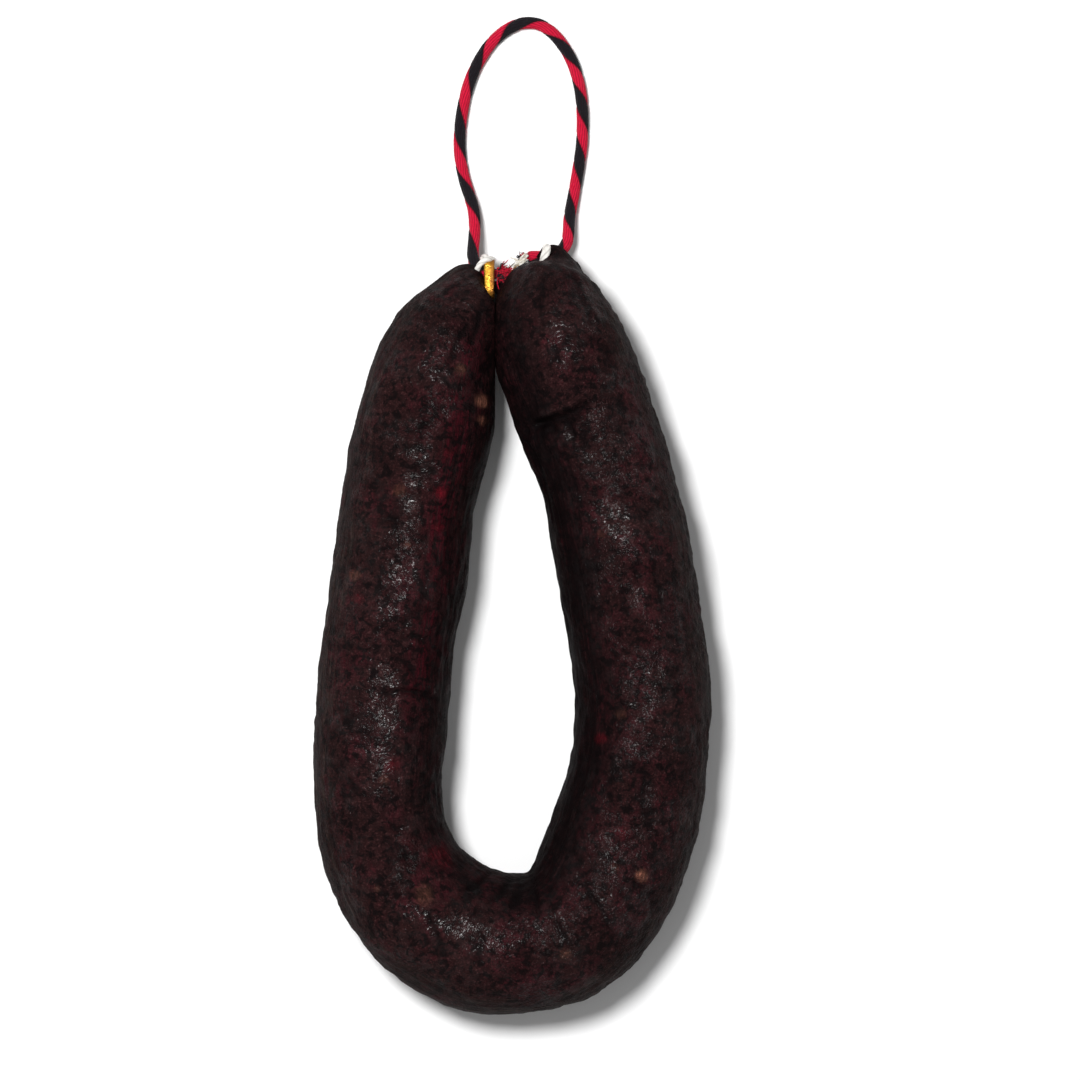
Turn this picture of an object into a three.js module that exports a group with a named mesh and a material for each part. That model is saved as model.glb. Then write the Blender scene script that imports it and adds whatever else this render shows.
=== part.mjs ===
// A cured sausage in a horseshoe: one stuffed casing bent double, its two tied ends drawn together and
// held by a gold clip and white twine, with a red and black hanging cord.
// It lies on its side on a table. Millimetres, +Z up, +Y from the bend towards the tied ends, and the
// origin under the middle of the horseshoe, on the table.
import * as THREE from "three";

// The horseshoe.
const HORSESHOE_LENGTH = 230; // outside of the bend to the tip of the tied ends
const HORSESHOE_WIDTH = 120; // outside of one leg to the outside of the other
const CALIBRE = 41; // diameter of the stuffed casing
const BEND_DEPTH = 61; // how far the bend's centreline drops below its widest place
const LEFT_FULLNESS = 2.4; // exponents of the bend's outline: 2 is an ellipse, more is squarer
const RIGHT_FULLNESS = 2.1;
const REST_FLAT = 1; // how much of the underside is pressed flat by the table
const PARTING_X = -5.2; // where the two legs lie against each other
const LEG_GAP = 0.6; // between the legs there
const FOLD_SHARE = 0.9; // the inside of a bend folds before it reaches the bend's own centre
const LEFT_SHOULDER = 45; // from the full leg to the tied neck
const RIGHT_SHOULDER = 44;

// The gathered ends.
const NECK_DIAMETER = 3.6; // casing where it is tied
const NECK_HEIGHT = 15; // axis of the tied necks above the table
const TAIL_DIAMETER = 4.2; // casing that spreads again past the clip
const LEFT_NECK_LENGTH = 3.5; // from the middle of the clip back to where the casing spreads
const LEFT_TAIL_LENGTH = 3.4; // and on to the end of the tail
const LEFT_TAIL_SPREAD = 1.02; // the last part of the tail, over which it spreads
const RIGHT_NECK_X = 9.7; // middle of the right neck
const RIGHT_NECK_TURN = 150; // degrees, the way it points in plan, from +X towards +Y
const RIGHT_TIE_TURN = 163; // and the way through its tie
const RIGHT_NECK_BELOW_TIP = 2.9;
const RIGHT_NECK_BACK = 1.6; // from its middle back to where the casing spreads
const RIGHT_NECK_END = 1.5; // and on to its end

// The hanging cord, the clip and the twine.
const CORD_DIAMETER = 3.5;
const FIT_GAP = 0.35; // between a binding and what it holds
const CLIP_WALL = 1.6; // thickness of its metal, outwards
const CLIP_WIDTH = 3.2; // along the neck
const CLIP_ROUNDING = 0.55; // radius of its worn edges
const TWINE_DIAMETER = 0.9;
const LEFT_TIE_TURNS = 1;
const RIGHT_TIE_TURNS = 2;
const CLIP_SLANT = 1.75; // how much wider the cord's section is where it crosses a band at an angle
const LEFT_TIE_SLANT = 2.2;
const RIGHT_TIE_SLANT = 1.4;
const LEFT_BOUND_SHARE = 0.1; // the left bindings hold the cord within this share of its length
const FRAY_LENGTH = 4.2; // loose yarns past the cord's ends
const FRAY_DIAMETER = 4.6;
const FRAY_TIP_DIAMETER = 2.3;

// How finely the round forms are divided.
const CASING_SIDES = 24;
const RINGS_PER_STATION = 3;
const CORD_SIDES = 8;
const CORD_STEPS = 56;
const TIE_SIDES = 2; // round half a corner
const CLIP_SIDES = 5;
const CLIP_EDGE_STEPS = 3;
const FRAY_SIDES = 10;
const FRAY_STEPS = 6;
const FINEST_SHARE = 1e-4; // how closely a place along the cord is found

// The cord's route, chosen by hand: through the clip and the left tie, down onto the table, round the
// loop, up under the right neck and through the right tie. Each point is across, past the horseshoe's
// tip, and up from the table.
const CORD_ROUTE = [
  [-4.7, -8.8, 16.0],
  [-7.0, -8.8, 15.1],
  [-9.3, -7.95, 14.0],
  [-11.1, -6.2, 12.7],
  [-11.9, -3.4, 10.9],
  [-11.8, 0.2, 8.6],
  [-11.5, 3.9, 6.5],
  [-11.5, 7.8, 4.7],
  [-12.0, 11.6, 3.4],
  [-13.1, 15.4, 2.6],
  [-14.6, 20.2, 2.0],
  [-15.6, 25.2, 1.9],
  [-16.1, 30.4, 1.9],
  [-15.9, 35.6, 1.9],
  [-15.2, 41.0, 1.9],
  [-13.9, 47.0, 1.9],
  [-12.0, 52.4, 1.9],
  [-9.2, 57.7, 1.9],
  [-5.9, 62.1, 1.9],
  [-1.7, 65.6, 1.9],
  [3.1, 67.5, 1.9],
  [7.7, 67.2, 1.9],
  [11.9, 64.6, 1.9],
  [15.5, 60.3, 1.9],
  [18.2, 55.2, 1.9],
  [20.0, 49.2, 1.9],
  [20.9, 43.2, 1.9],
  [21.1, 37.2, 1.9],
  [20.9, 31.2, 1.9],
  [20.1, 25.2, 1.9],
  [19.1, 19.2, 2.0],
  [18.0, 13.4, 2.6],
  [17.1, 8.2, 3.8],
  [16.8, 3.6, 5.4],
  [16.4, 1.2, 6.4],
  [14.8, -1.4, 7.5],
  [12.5, -2.9, 8.2],
  [9.9, -3.4, 8.6],
  [7.1, -3.4, 9.2],
  [4.4, -3.4, 9.8],
];
const CLIPPED_POINT = CORD_ROUTE[1]; // the cord's point in the middle of the clip
const RIGHT_TIED_POINT = CORD_ROUTE.at(-3);

const girth = CALIBRE / 2;
const neck = NECK_DIAMETER / 2;
const tip = HORSESHOE_LENGTH / 2;
const bendBottom = girth - tip;
const bendTop = bendBottom + BEND_DEPTH;
const leftNeckY = tip + CLIPPED_POINT[1] - CORD_DIAMETER / 2 - FIT_GAP - neck;
const rightNeckY = tip - RIGHT_NECK_BELOW_TIP;

const cordRoute = new THREE.CatmullRomCurve3(
  CORD_ROUTE.map(([across, past, up]) => new THREE.Vector3(across, tip + past, up)),
);

// The cord's place where its left end passes a plane across X.
function leftCordAt(x) {
  let before = 0;
  let after = LEFT_BOUND_SHARE;
  while (after - before > FINEST_SHARE) {
    const middle = (before + after) / 2;
    if (cordRoute.getPoint(middle).x > x) before = middle;
    else after = middle;
  }
  return cordRoute.getPoint(before);
}

function wayInPlan(degrees) {
  const turn = THREE.MathUtils.degToRad(degrees);
  return new THREE.Vector3(Math.cos(turn), Math.sin(turn), 0);
}

// One station of the casing: its axis and its radius. The axis rises from the necks to the full legs.
function station(x, y, radius) {
  const share = THREE.MathUtils.clamp((radius - neck) / (girth - neck), 0, 1);
  const height = NECK_HEIGHT + (girth - REST_FLAT - NECK_HEIGHT) * share ** 2;
  return { axis: new THREE.Vector3(x, y, height), radius };
}

// A leg between the bend and the shoulder: apart is 0 where the legs touch and 1 at the full width, and
// up is 0 at the bend and 1 at the shoulder.
function legStation(side, shoulderY, [apart, up, share]) {
  const radius = girth * share;
  const touching = PARTING_X + side * (LEG_GAP / 2 + radius);
  const widest = side * (HORSESHOE_WIDTH / 2 - radius);
  return station(
    THREE.MathUtils.lerp(touching, widest, apart),
    THREE.MathUtils.lerp(bendTop, shoulderY, up),
    radius,
  );
}

// A shoulder, from the leg to the neck: clear is how far the casing stands off the other leg.
function shoulderStation(side, neckY, [clear, below, share]) {
  const radius = girth * share;
  return station(PARTING_X + side * (LEG_GAP / 2 + radius + clear), neckY - below, radius);
}

// The left shoulder also keeps at least so far back from the end of its neck, to pass the clip and the tie.
function leftShoulderStation([clear, below, share, back]) {
  const placed = shoulderStation(-1, leftNeckY, [clear, below, share]);
  placed.axis.x = Math.min(placed.axis.x, CLIPPED_POINT[0] - LEFT_NECK_LENGTH - back);
  return placed;
}

// A station of the left neck, so far past the middle of the clip.
function leftNeckStation(past, radius) {
  return station(CLIPPED_POINT[0] + past, leftNeckY, radius);
}

const leftTail = [
  leftNeckStation(LEFT_TAIL_LENGTH, TAIL_DIAMETER / 2),
  leftNeckStation(LEFT_TAIL_LENGTH - LEFT_TAIL_SPREAD, neck),
  leftNeckStation(0, neck),
  leftNeckStation(-LEFT_NECK_LENGTH, neck),
];
const leftShoulder = [
  [1.6, 0.0, 0.22, 1.11],
  [0.5, 0.3, 0.32, 2.06],
  [0.0, 2.1, 0.46, 4.43],
  [0.0, 6.4, 0.58, 6.89],
  [0.0, 14.2, 0.74, 0.0],
  [0.0, 25.2, 0.89, 0.0],
].map(leftShoulderStation);
const leftLeg = [
  [0.06, 1, 0.98],
  [0.345, 0.77, 0.965],
  [0.67, 0.45, 0.965],
  [0.9, 0.17, 0.97],
].map((row) => legStation(-1, leftNeckY - LEFT_SHOULDER, row));
const rightLeg = [
  [0.97, 0.13, 1],
  [0.89, 0.3, 1],
  [0.745, 0.53, 1],
  [0.47, 0.79, 0.985],
  [0.22, 1, 0.985],
].map((row) => legStation(1, rightNeckY - RIGHT_SHOULDER, row));
const rightShoulder = [
  [0.6, 29.0, 0.965],
  [0.9, 16.6, 0.82],
  [6.3, 8.2, 0.57],
  [12.6, 6.2, 0.28],
  [15.3, 2.8, 0.14],
].map((row) => shoulderStation(1, rightNeckY, row));
const rightNeckWay = wayInPlan(RIGHT_NECK_TURN);
const rightTail = [-RIGHT_NECK_BACK, 0, RIGHT_NECK_END].map((past) =>
  station(RIGHT_NECK_X + past * rightNeckWay.x, rightNeckY + past * rightNeckWay.y, neck),
);

// The bend is half a rounded oblong, from the left leg's widest place round to the right leg's.
function bendStations() {
  const reach = HORSESHOE_WIDTH / 2 - girth;
  const stations = [];
  for (const degrees of [0, 22, 44, 66, 90, 114, 136, 158, 175]) {
    const turn = THREE.MathUtils.degToRad(degrees);
    const power = 2 / (degrees < 90 ? LEFT_FULLNESS : RIGHT_FULLNESS);
    const across = -Math.sign(Math.cos(turn)) * Math.abs(Math.cos(turn)) ** power;
    const down = Math.sin(turn) ** power;
    stations.push(station(reach * across, bendTop - BEND_DEPTH * down, girth));
  }
  return stations;
}

const STATIONS = [
  ...leftTail,
  ...leftShoulder,
  ...leftLeg,
  ...bendStations(),
  ...rightLeg,
  ...rightShoulder,
  ...rightTail,
];

// A closed skin over rings of the same number of points, with a fan over each end.
function skin(rings) {
  const sides = rings[0].length;
  const ends = [rings[0], rings.at(-1)].map((ring) =>
    ring.reduce((sum, point) => sum.add(point), new THREE.Vector3()).divideScalar(sides),
  );
  const points = [...rings.flat(), ...ends];
  const first = points.length - 2;
  const faces = [];
  for (let side = 0; side < sides; side++) {
    const next = (side + 1) % sides;
    for (let ring = 0; ring < rings.length - 1; ring++) {
      const here = ring * sides;
      const there = here + sides;
      faces.push(here + side, there + next, here + next);
      faces.push(here + side, there + side, there + next);
    }
    const last = (rings.length - 1) * sides;
    faces.push(first, side, next);
    faces.push(first + 1, last + next, last + side);
  }
  const geometry = new THREE.BufferGeometry().setFromPoints(points);
  geometry.setIndex(faces);
  geometry.computeVertexNormals();
  return geometry;
}

// The casing is a round section carried along the stations. The table flattens it from below, and on the
// inside of a bend it folds before it reaches the bend's centre.
function casingGeometry() {
  const axis = new THREE.CatmullRomCurve3(STATIONS.map((s) => s.axis));
  const size = new THREE.CatmullRomCurve3(
    STATIONS.map((s) => new THREE.Vector3(s.radius, 0, 0)),
    false,
    "catmullrom",
  );
  const count = (STATIONS.length - 1) * RINGS_PER_STATION;
  const up = new THREE.Vector3(0, 0, 1);
  const nudge = 1e-3;
  const rings = [];
  for (let i = 0; i <= count; i++) {
    const t = i / count;
    const centre = axis.getPoint(t);
    const radius = size.getPoint(t).x;
    const ahead = axis.getTangent(t);
    const outwards = new THREE.Vector3().crossVectors(ahead, up).normalize();
    const over = new THREE.Vector3().crossVectors(outwards, ahead);
    const before = axis.getTangent(Math.max(t - nudge, 0));
    const after = axis.getTangent(Math.min(t + nudge, 1));
    const step = axis.getPoint(Math.max(t - nudge, 0)).distanceTo(axis.getPoint(Math.min(t + nudge, 1)));
    const turning = after.clone().sub(before).dot(outwards) / step; // signed curvature, 1/mm
    const foldAt = FOLD_SHARE / Math.max(Math.abs(turning), 1e-6);
    const ring = [];
    for (let k = 0; k < CASING_SIDES; k++) {
      const angle = (2 * Math.PI * k) / CASING_SIDES;
      const across = radius * Math.cos(angle);
      const inwards = across * Math.sign(turning) > foldAt;
      const point = centre
        .clone()
        .addScaledVector(outwards, inwards ? Math.sign(turning) * foldAt : across)
        .addScaledVector(over, radius * Math.sin(angle));
      point.z = Math.max(point.z, 0);
      ring.push(point);
    }
    rings.push(ring);
  }
  return skin(rings);
}

// A closed band round an opening with rounded corners. It lies in its own XY plane with the opening's
// length along Y, and is centred.
function roundedBand({ halfAcross, halfLength, wall, width, rounding, sides }) {
  const corner = CORD_DIAMETER / 2 + FIT_GAP;
  const x = halfAcross - corner;
  const y = halfLength - corner;
  const outline = (path, grow) =>
    path
      .absarc(x, y, corner + grow, 0, Math.PI / 2)
      .absarc(-x, y, corner + grow, Math.PI / 2, Math.PI)
      .absarc(-x, -y, corner + grow, Math.PI, 1.5 * Math.PI)
      .absarc(x, -y, corner + grow, 1.5 * Math.PI, 2 * Math.PI);
  const shape = outline(new THREE.Shape(), wall - rounding);
  shape.holes.push(outline(new THREE.Path(), rounding));
  const options = {
    curveSegments: sides,
    depth: width - 2 * rounding,
    bevelEnabled: rounding > 0,
    bevelThickness: rounding,
    bevelSize: rounding,
    bevelSegments: CLIP_EDGE_STEPS,
  };
  return new THREE.ExtrudeGeometry(shape, options).translate(0, 0, rounding - width / 2);
}

function cordGeometry() {
  const section = new THREE.Shape();
  for (let k = 0; k < CORD_SIDES; k++) {
    const angle = (2 * Math.PI * k) / CORD_SIDES;
    const point = [(CORD_DIAMETER / 2) * Math.cos(angle), (CORD_DIAMETER / 2) * Math.sin(angle)];
    if (k === 0) section.moveTo(...point);
    else section.lineTo(...point);
  }
  return new THREE.ExtrudeGeometry(section, { steps: CORD_STEPS, extrudePath: cordRoute });
}

// The loose yarns past a cut end of the cord, as one plain bud that grows along its own +Y.
function frayGeometry() {
  const profile = new THREE.SplineCurve([
    new THREE.Vector2(CORD_DIAMETER / 2 - FIT_GAP, 0),
    new THREE.Vector2(FRAY_DIAMETER / 2, FRAY_LENGTH / 2),
    new THREE.Vector2(FRAY_TIP_DIAMETER / 2, FRAY_LENGTH),
  ]).getPoints(FRAY_STEPS);
  const closed = [new THREE.Vector2(0, 0), ...profile, new THREE.Vector2(0, FRAY_LENGTH)];
  return new THREE.LatheGeometry(closed, FRAY_SIDES);
}

const MATERIALS = {
  casing: new THREE.MeshStandardMaterial({ color: 0x2b1a19, roughness: 0.42 }),
  clip: new THREE.MeshStandardMaterial({ color: 0xb98a2e, roughness: 0.3, metalness: 1 }),
  twine: new THREE.MeshStandardMaterial({ color: 0xd9d3c6, roughness: 0.9 }),
  cord: new THREE.MeshStandardMaterial({ color: 0x8c1226, roughness: 0.9 }),
};

const sausage = new THREE.Group();

function add(name, geometry, material) {
  const mesh = new THREE.Mesh(geometry, MATERIALS[material]);
  mesh.name = name;
  sausage.add(mesh);
  return mesh;
}

// Sets a band round the cord and a neck: its hole runs along through, and its length lies along the
// line from the one to the other.
function placeBand(band, centre, through, along) {
  const hole = through.clone().normalize();
  const across = new THREE.Vector3().crossVectors(along, hole).normalize();
  const length = new THREE.Vector3().crossVectors(hole, across);
  band.quaternion.setFromRotationMatrix(new THREE.Matrix4().makeBasis(across, length, hole));
  band.position.copy(centre);
}

// The clip and the left tie hold the cord beside the neck, so far past the middle of the clip. Each
// reaches from the neck's near side to the cord's far side, and slant is the share by which the cord's
// section grows where it crosses the band at an angle.
function addLeftBand(name, material, { past, slant, wall, width, rounding, sides }) {
  const x = CLIPPED_POINT[0] + past;
  const cord = leftCordAt(x);
  const cordRadius = (CORD_DIAMETER / 2) * slant;
  const near = leftNeckY - neck - FIT_GAP;
  const far = cord.y + cordRadius + FIT_GAP;
  const halfAcross = NECK_HEIGHT - cord.z + cordRadius + FIT_GAP;
  const halfLength = (far - near) / 2;
  const band = add(name, roundedBand({ halfAcross, halfLength, wall, width, rounding, sides }), material);
  const centre = new THREE.Vector3(x, (near + far) / 2, NECK_HEIGHT);
  placeBand(band, centre, new THREE.Vector3(1, 0, 0), new THREE.Vector3(0, 1, 0));
}

function addClip() {
  addLeftBand("neck_clip", "clip", {
    past: 0,
    slant: CLIP_SLANT,
    wall: CLIP_WALL,
    width: CLIP_WIDTH,
    rounding: CLIP_ROUNDING,
    sides: CLIP_SIDES,
  });
}

function addLeftTie() {
  const width = LEFT_TIE_TURNS * TWINE_DIAMETER;
  addLeftBand("left_tie", "twine", {
    past: -(CLIP_WIDTH + width) / 2 - FIT_GAP,
    slant: LEFT_TIE_SLANT,
    wall: TWINE_DIAMETER,
    width,
    rounding: 0,
    sides: TIE_SIDES,
  });
}

// The right tie holds the cord under the neck.
function addRightTie() {
  const neckPoint = new THREE.Vector3(RIGHT_NECK_X, rightNeckY, NECK_HEIGHT);
  const [across, past, up] = RIGHT_TIED_POINT;
  const cordPoint = new THREE.Vector3(across, tip + past, up);
  const apart = neckPoint.clone().sub(cordPoint);
  const span = apart.length() + neck + CORD_DIAMETER / 2 + 2 * FIT_GAP;
  const towardsNeck = apart.clone().normalize();
  const centre = cordPoint.addScaledVector(towardsNeck, span / 2 - CORD_DIAMETER / 2 - FIT_GAP);
  const shape = {
    halfAcross: (CORD_DIAMETER / 2) * RIGHT_TIE_SLANT + FIT_GAP,
    halfLength: span / 2,
    wall: TWINE_DIAMETER,
    width: RIGHT_TIE_TURNS * TWINE_DIAMETER,
    rounding: 0,
    sides: TIE_SIDES,
  };
  placeBand(add("right_tie", roundedBand(shape), "twine"), centre, wayInPlan(RIGHT_TIE_TURN), apart);
}

// A fray carries on from the cord's end, which it clears by the fit gap.
function addFray(name, end) {
  const outwards = cordRoute.getTangent(end).multiplyScalar(end === 0 ? -1 : 1);
  const fray = add(name, frayGeometry(), "cord");
  fray.quaternion.setFromUnitVectors(new THREE.Vector3(0, 1, 0), outwards);
  fray.position.copy(cordRoute.getPoint(end)).addScaledVector(outwards, FIT_GAP);
}

add("sausage", casingGeometry(), "casing");
addClip();
addLeftTie();
addRightTie();
add("hanging_cord", cordGeometry(), "cord");
addFray("left_fray", 0);
addFray("right_fray", 1);

export default sausage;
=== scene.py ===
import math

import bpy
import numpy as np
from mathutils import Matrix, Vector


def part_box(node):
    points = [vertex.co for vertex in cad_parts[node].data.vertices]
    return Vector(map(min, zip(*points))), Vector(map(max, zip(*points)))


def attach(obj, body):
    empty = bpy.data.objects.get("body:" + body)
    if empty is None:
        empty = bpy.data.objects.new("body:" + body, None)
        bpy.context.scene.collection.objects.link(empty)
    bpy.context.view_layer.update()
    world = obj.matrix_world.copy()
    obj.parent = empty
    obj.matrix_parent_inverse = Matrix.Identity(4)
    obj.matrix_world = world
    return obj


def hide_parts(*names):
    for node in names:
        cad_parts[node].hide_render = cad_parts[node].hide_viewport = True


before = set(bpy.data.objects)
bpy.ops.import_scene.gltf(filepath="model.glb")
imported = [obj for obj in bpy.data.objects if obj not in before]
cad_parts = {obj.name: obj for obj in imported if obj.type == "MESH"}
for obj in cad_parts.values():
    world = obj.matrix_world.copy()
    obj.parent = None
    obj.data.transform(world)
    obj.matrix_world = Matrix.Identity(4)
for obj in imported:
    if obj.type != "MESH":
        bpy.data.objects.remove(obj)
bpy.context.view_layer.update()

bl_info = {
    "name": "Cured Sausage",
    "version": (1, 0, 0),
    "blender": (4, 5, 0),
    "location": "View3D > Sidebar > Sausage",
    "description": "A dark cured sausage in a horseshoe with its clip, twine and two-colour hanging cord",
    "category": "Add Mesh",
}

MM = 0.001
UP = np.array([0.0, 0.0, 1.0])

# The casing's round body, in millimetres.
GIRTH = 20.5  # radius of the stuffed casing, and the most it stands above its own middle
NECK = 1.8  # radius where it is tied
NECK_HEIGHT = 15.0  # middle of the necks above the table
REST_FLAT = 1.0  # how much of the underside the table presses flat
PARTING = -5.2  # across, where the two legs lie against each other
LEGS_MEET = (45, 62)  # along, from where the legs come near each other to where they are pressed flat
LEG_CLEARANCE = 0.01  # between each leg and the parting
TABLE_EASE = 0.3  # how softly the underside turns onto the table
BEND_SHARE = 0.95  # the inside of a bend reaches this share of the way to the bend's own centre
EVENED_OVER = 5.0  # length over which the full legs' outline is evened out
LIP = 0.4  # how high a fold's lip stands, as a share of the fold's depth
FAT_STANDS = 0.25  # how far the fat stands out
BAND_STARTS = (-32, -12)  # along, where the left leg's red band comes in
BAND_ENDS = (96, 84)  # and where it has gone
TIP = 115.0  # along, the far end of the tied ends

# Stations of the casing from the left tail round the bend to the right tail: across, along, and how far
# the casing reaches from there to the outside of the horseshoe and to its inside.
CASING_STATIONS = (
    (-1.8, 101.2, 3.8, 4.0), (-3.4, 102.0, 2.9, 3.0), (-5.0, 102.3, 1.75, 1.75),
    (-6.6, 102.3, 1.7, 1.7), (-8.3, 102.3, 1.75, 1.75), (-9.1, 102.3, 4.6, 3.4),
    (-10.2, 102.0, 8.0, 5.4), (-11.6, 100.8, 9.6, 9.8), (-13.4, 98.4, 10.9, 13.6),
    (-15.9, 94.6, 13.0, 15.0), (-19.6, 88.0, 16.0, 16.8), (-23.2, 78.5, 18.4, 19.0),
    (-25.0, 69.0, 19.6, 19.9), (-27.4, 56.5, 20.8, 20.8), (-30.2, 43.0, 20.0, 19.8),
    (-33.2, 21.0, 20.1, 20.6), (-36.2, 0.0, 20.0, 19.6), (-38.6, -20.0, 20.0, 19.8),
    (-40.1, -38.0, 19.4, 19.4), (-40.0, -52.0, 19.3, 18.8), (-37.8, -64.5, 19.9, 19.0),
    (-33.4, -75.5, 20.3, 20.0), (-26.8, -84.4, 21.0, 21.2), (-15.0, -92.2, 21.8, 21.4),
    (0.0, -94.9, 21.2, 20.8), (13.0, -92.6, 21.2, 20.6), (23.2, -84.4, 20.4, 21.4),
    (29.2, -74.0, 21.4, 22.1), (33.2, -61.8, 21.4, 21.6), (36.9, -46.6, 21.2, 20.2),
    (38.9, -32.0, 20.5, 20.0), (39.0, -17.0, 20.8, 20.2), (37.0, -3.5, 20.0, 20.2),
    (33.6, 20.0, 20.8, 20.4), (31.0, 33.0, 20.3, 20.2), (27.8, 45.0, 20.2, 19.6),
    (24.2, 56.3, 20.4, 20.0), (20.0, 69.0, 20.2, 20.6), (15.6, 82.6, 19.8, 21.2),
    (12.3, 93.5, 17.2, 19.4), (11.6, 101.0, 15.0, 16.8), (12.5, 106.2, 11.0, 9.0),
    (13.1, 109.6, 6.6, 4.6), (12.7, 112.6, 2.6, 2.9), (11.2, 113.0, 1.9, 1.9),
    (9.7, 112.1, 1.75, 1.75), (8.2, 113.0, 2.0, 2.0),
)
CASING_RINGS = 768
CASING_SIDES = 128
STATION_SAMPLES = 4000  # along the curve through the stations, before the rings are spaced
EVEN_SAMPLES = 2400

# Burgundy places on the casing: across, along, radius and strength.
RED_PLACES = (
    (-31, 11, 6, 0.5), (-46, -0.5, 3.5, 0.8), (-43, -9, 2.5, 0.6), (-21, 40, 3, 0.9),
    (-35, -42, 5, 0.7), (-46, -36, 4, 0.5), (-24, -69, 9, 0.9), (-9, -78, 7, 0.5),
    (-35, -56, 4, 0.7), (-31, -82, 4, 0.7), (-25, -97, 4, 0.6), (-22, 64, 6, 0.6),
    (-47, 15, 3, 0.6), (27, -3, 7, 0.7), (45, 3, 5, 0.5), (52, -18, 3.5, 0.7),
    (28, -22, 6, 0.8), (32, -32, 9, 0.7), (26, -57, 7, 0.8), (17, -80, 7, 0.9),
    (5, -90, 7, 0.8), (45, -50, 5, 0.6), (9, -104, 5, 0.6), (31, -87, 5, 0.6),
    (22, 40, 8, 0.7), (38, 44, 7, 0.6), (14, 84, 6, 0.4), (46, 24, 6, 0.5),
)
# Fat showing through it, by the same four numbers. The second, at (-9.2, 62.0), is a painted highlight in the
# fat's colour.
FAT_AND_HIGHLIGHT_PLACES = (
    (-9.4, 67.8, 2.0, 0.9), (-9.2, 62.0, 1.5, 0.7), (-15.4, 77.0, 1.8, 0.3), (-33.4, 41.0, 2.0, 0.25),
    (-47, 15.5, 1.6, 0.35), (-31.5, 25.0, 1.2, 0.2), (-26, -79.5, 2.8, 0.22), (-40, -77.5, 0.9, 0.3),
    (32, -25.6, 1.7, 0.3), (26.5, 28.0, 1.2, 0.2), (38.6, -73.6, 1.9, 1.0), (16, -97, 1.8, 0.25),
    (30.5, -71.0, 1.2, 0.2), (-38.0, -45.0, 1.6, 0.2),
)
# Raw red spots, by the same four numbers.
RAW_PLACES = (
    (-21.2, 40.3, 1.7, 1.0), (-21.8, 30.0, 1.6, 0.5), (-19.4, 52.0, 1.4, 0.4), (-46.0, 9.0, 1.6, 0.3),
    (26.5, -33.0, 1.8, 0.5), (-36.0, -41.0, 2.2, 0.35), (-22.0, -68.0, 4.0, 0.35), (33.0, -61.0, 2.0, 0.3),
)
# Greasy places that shine, by the same four numbers.
GREASY_PLACES = (
    (-29.8, 44.0, 2.6, 1.0), (-30.6, 37.0, 3.0, 1.0), (-33.0, 24.0, 2.6, 0.7), (-34.0, 10.0, 3.0, 0.8),
    (-30.0, -3.0, 3.0, 0.8), (-38.3, -41.3, 3.2, 1.0), (-36.0, -20.0, 3.4, 0.8), (-24.0, 62.0, 3.4, 0.6),
    (-9.2, 62.5, 1.8, 1.0), (8.0, 82.0, 3.2, 0.6), (26.0, 62.0, 4.0, 0.8), (30.0, 44.0, 4.5, 0.8),
    (34.0, 25.0, 4.5, 0.7), (38.3, 8.0, 4.0, 0.8), (44.3, -7.0, 3.4, 1.0), (43.4, -21.0, 3.6, 1.0),
    (41.6, -36.0, 3.4, 0.9), (41.0, -50.0, 3.6, 0.9), (39.0, -62.0, 3.4, 0.9), (38.4, -73.4, 2.2, 1.0),
    (31.0, -86.5, 4.0, 1.0), (15.0, -96.0, 4.2, 1.0), (13.4, -87.5, 4.0, 0.9), (-4.0, -99.0, 4.0, 0.6),
    (-33.0, -70.0, 3.0, 0.6),
)
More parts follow.
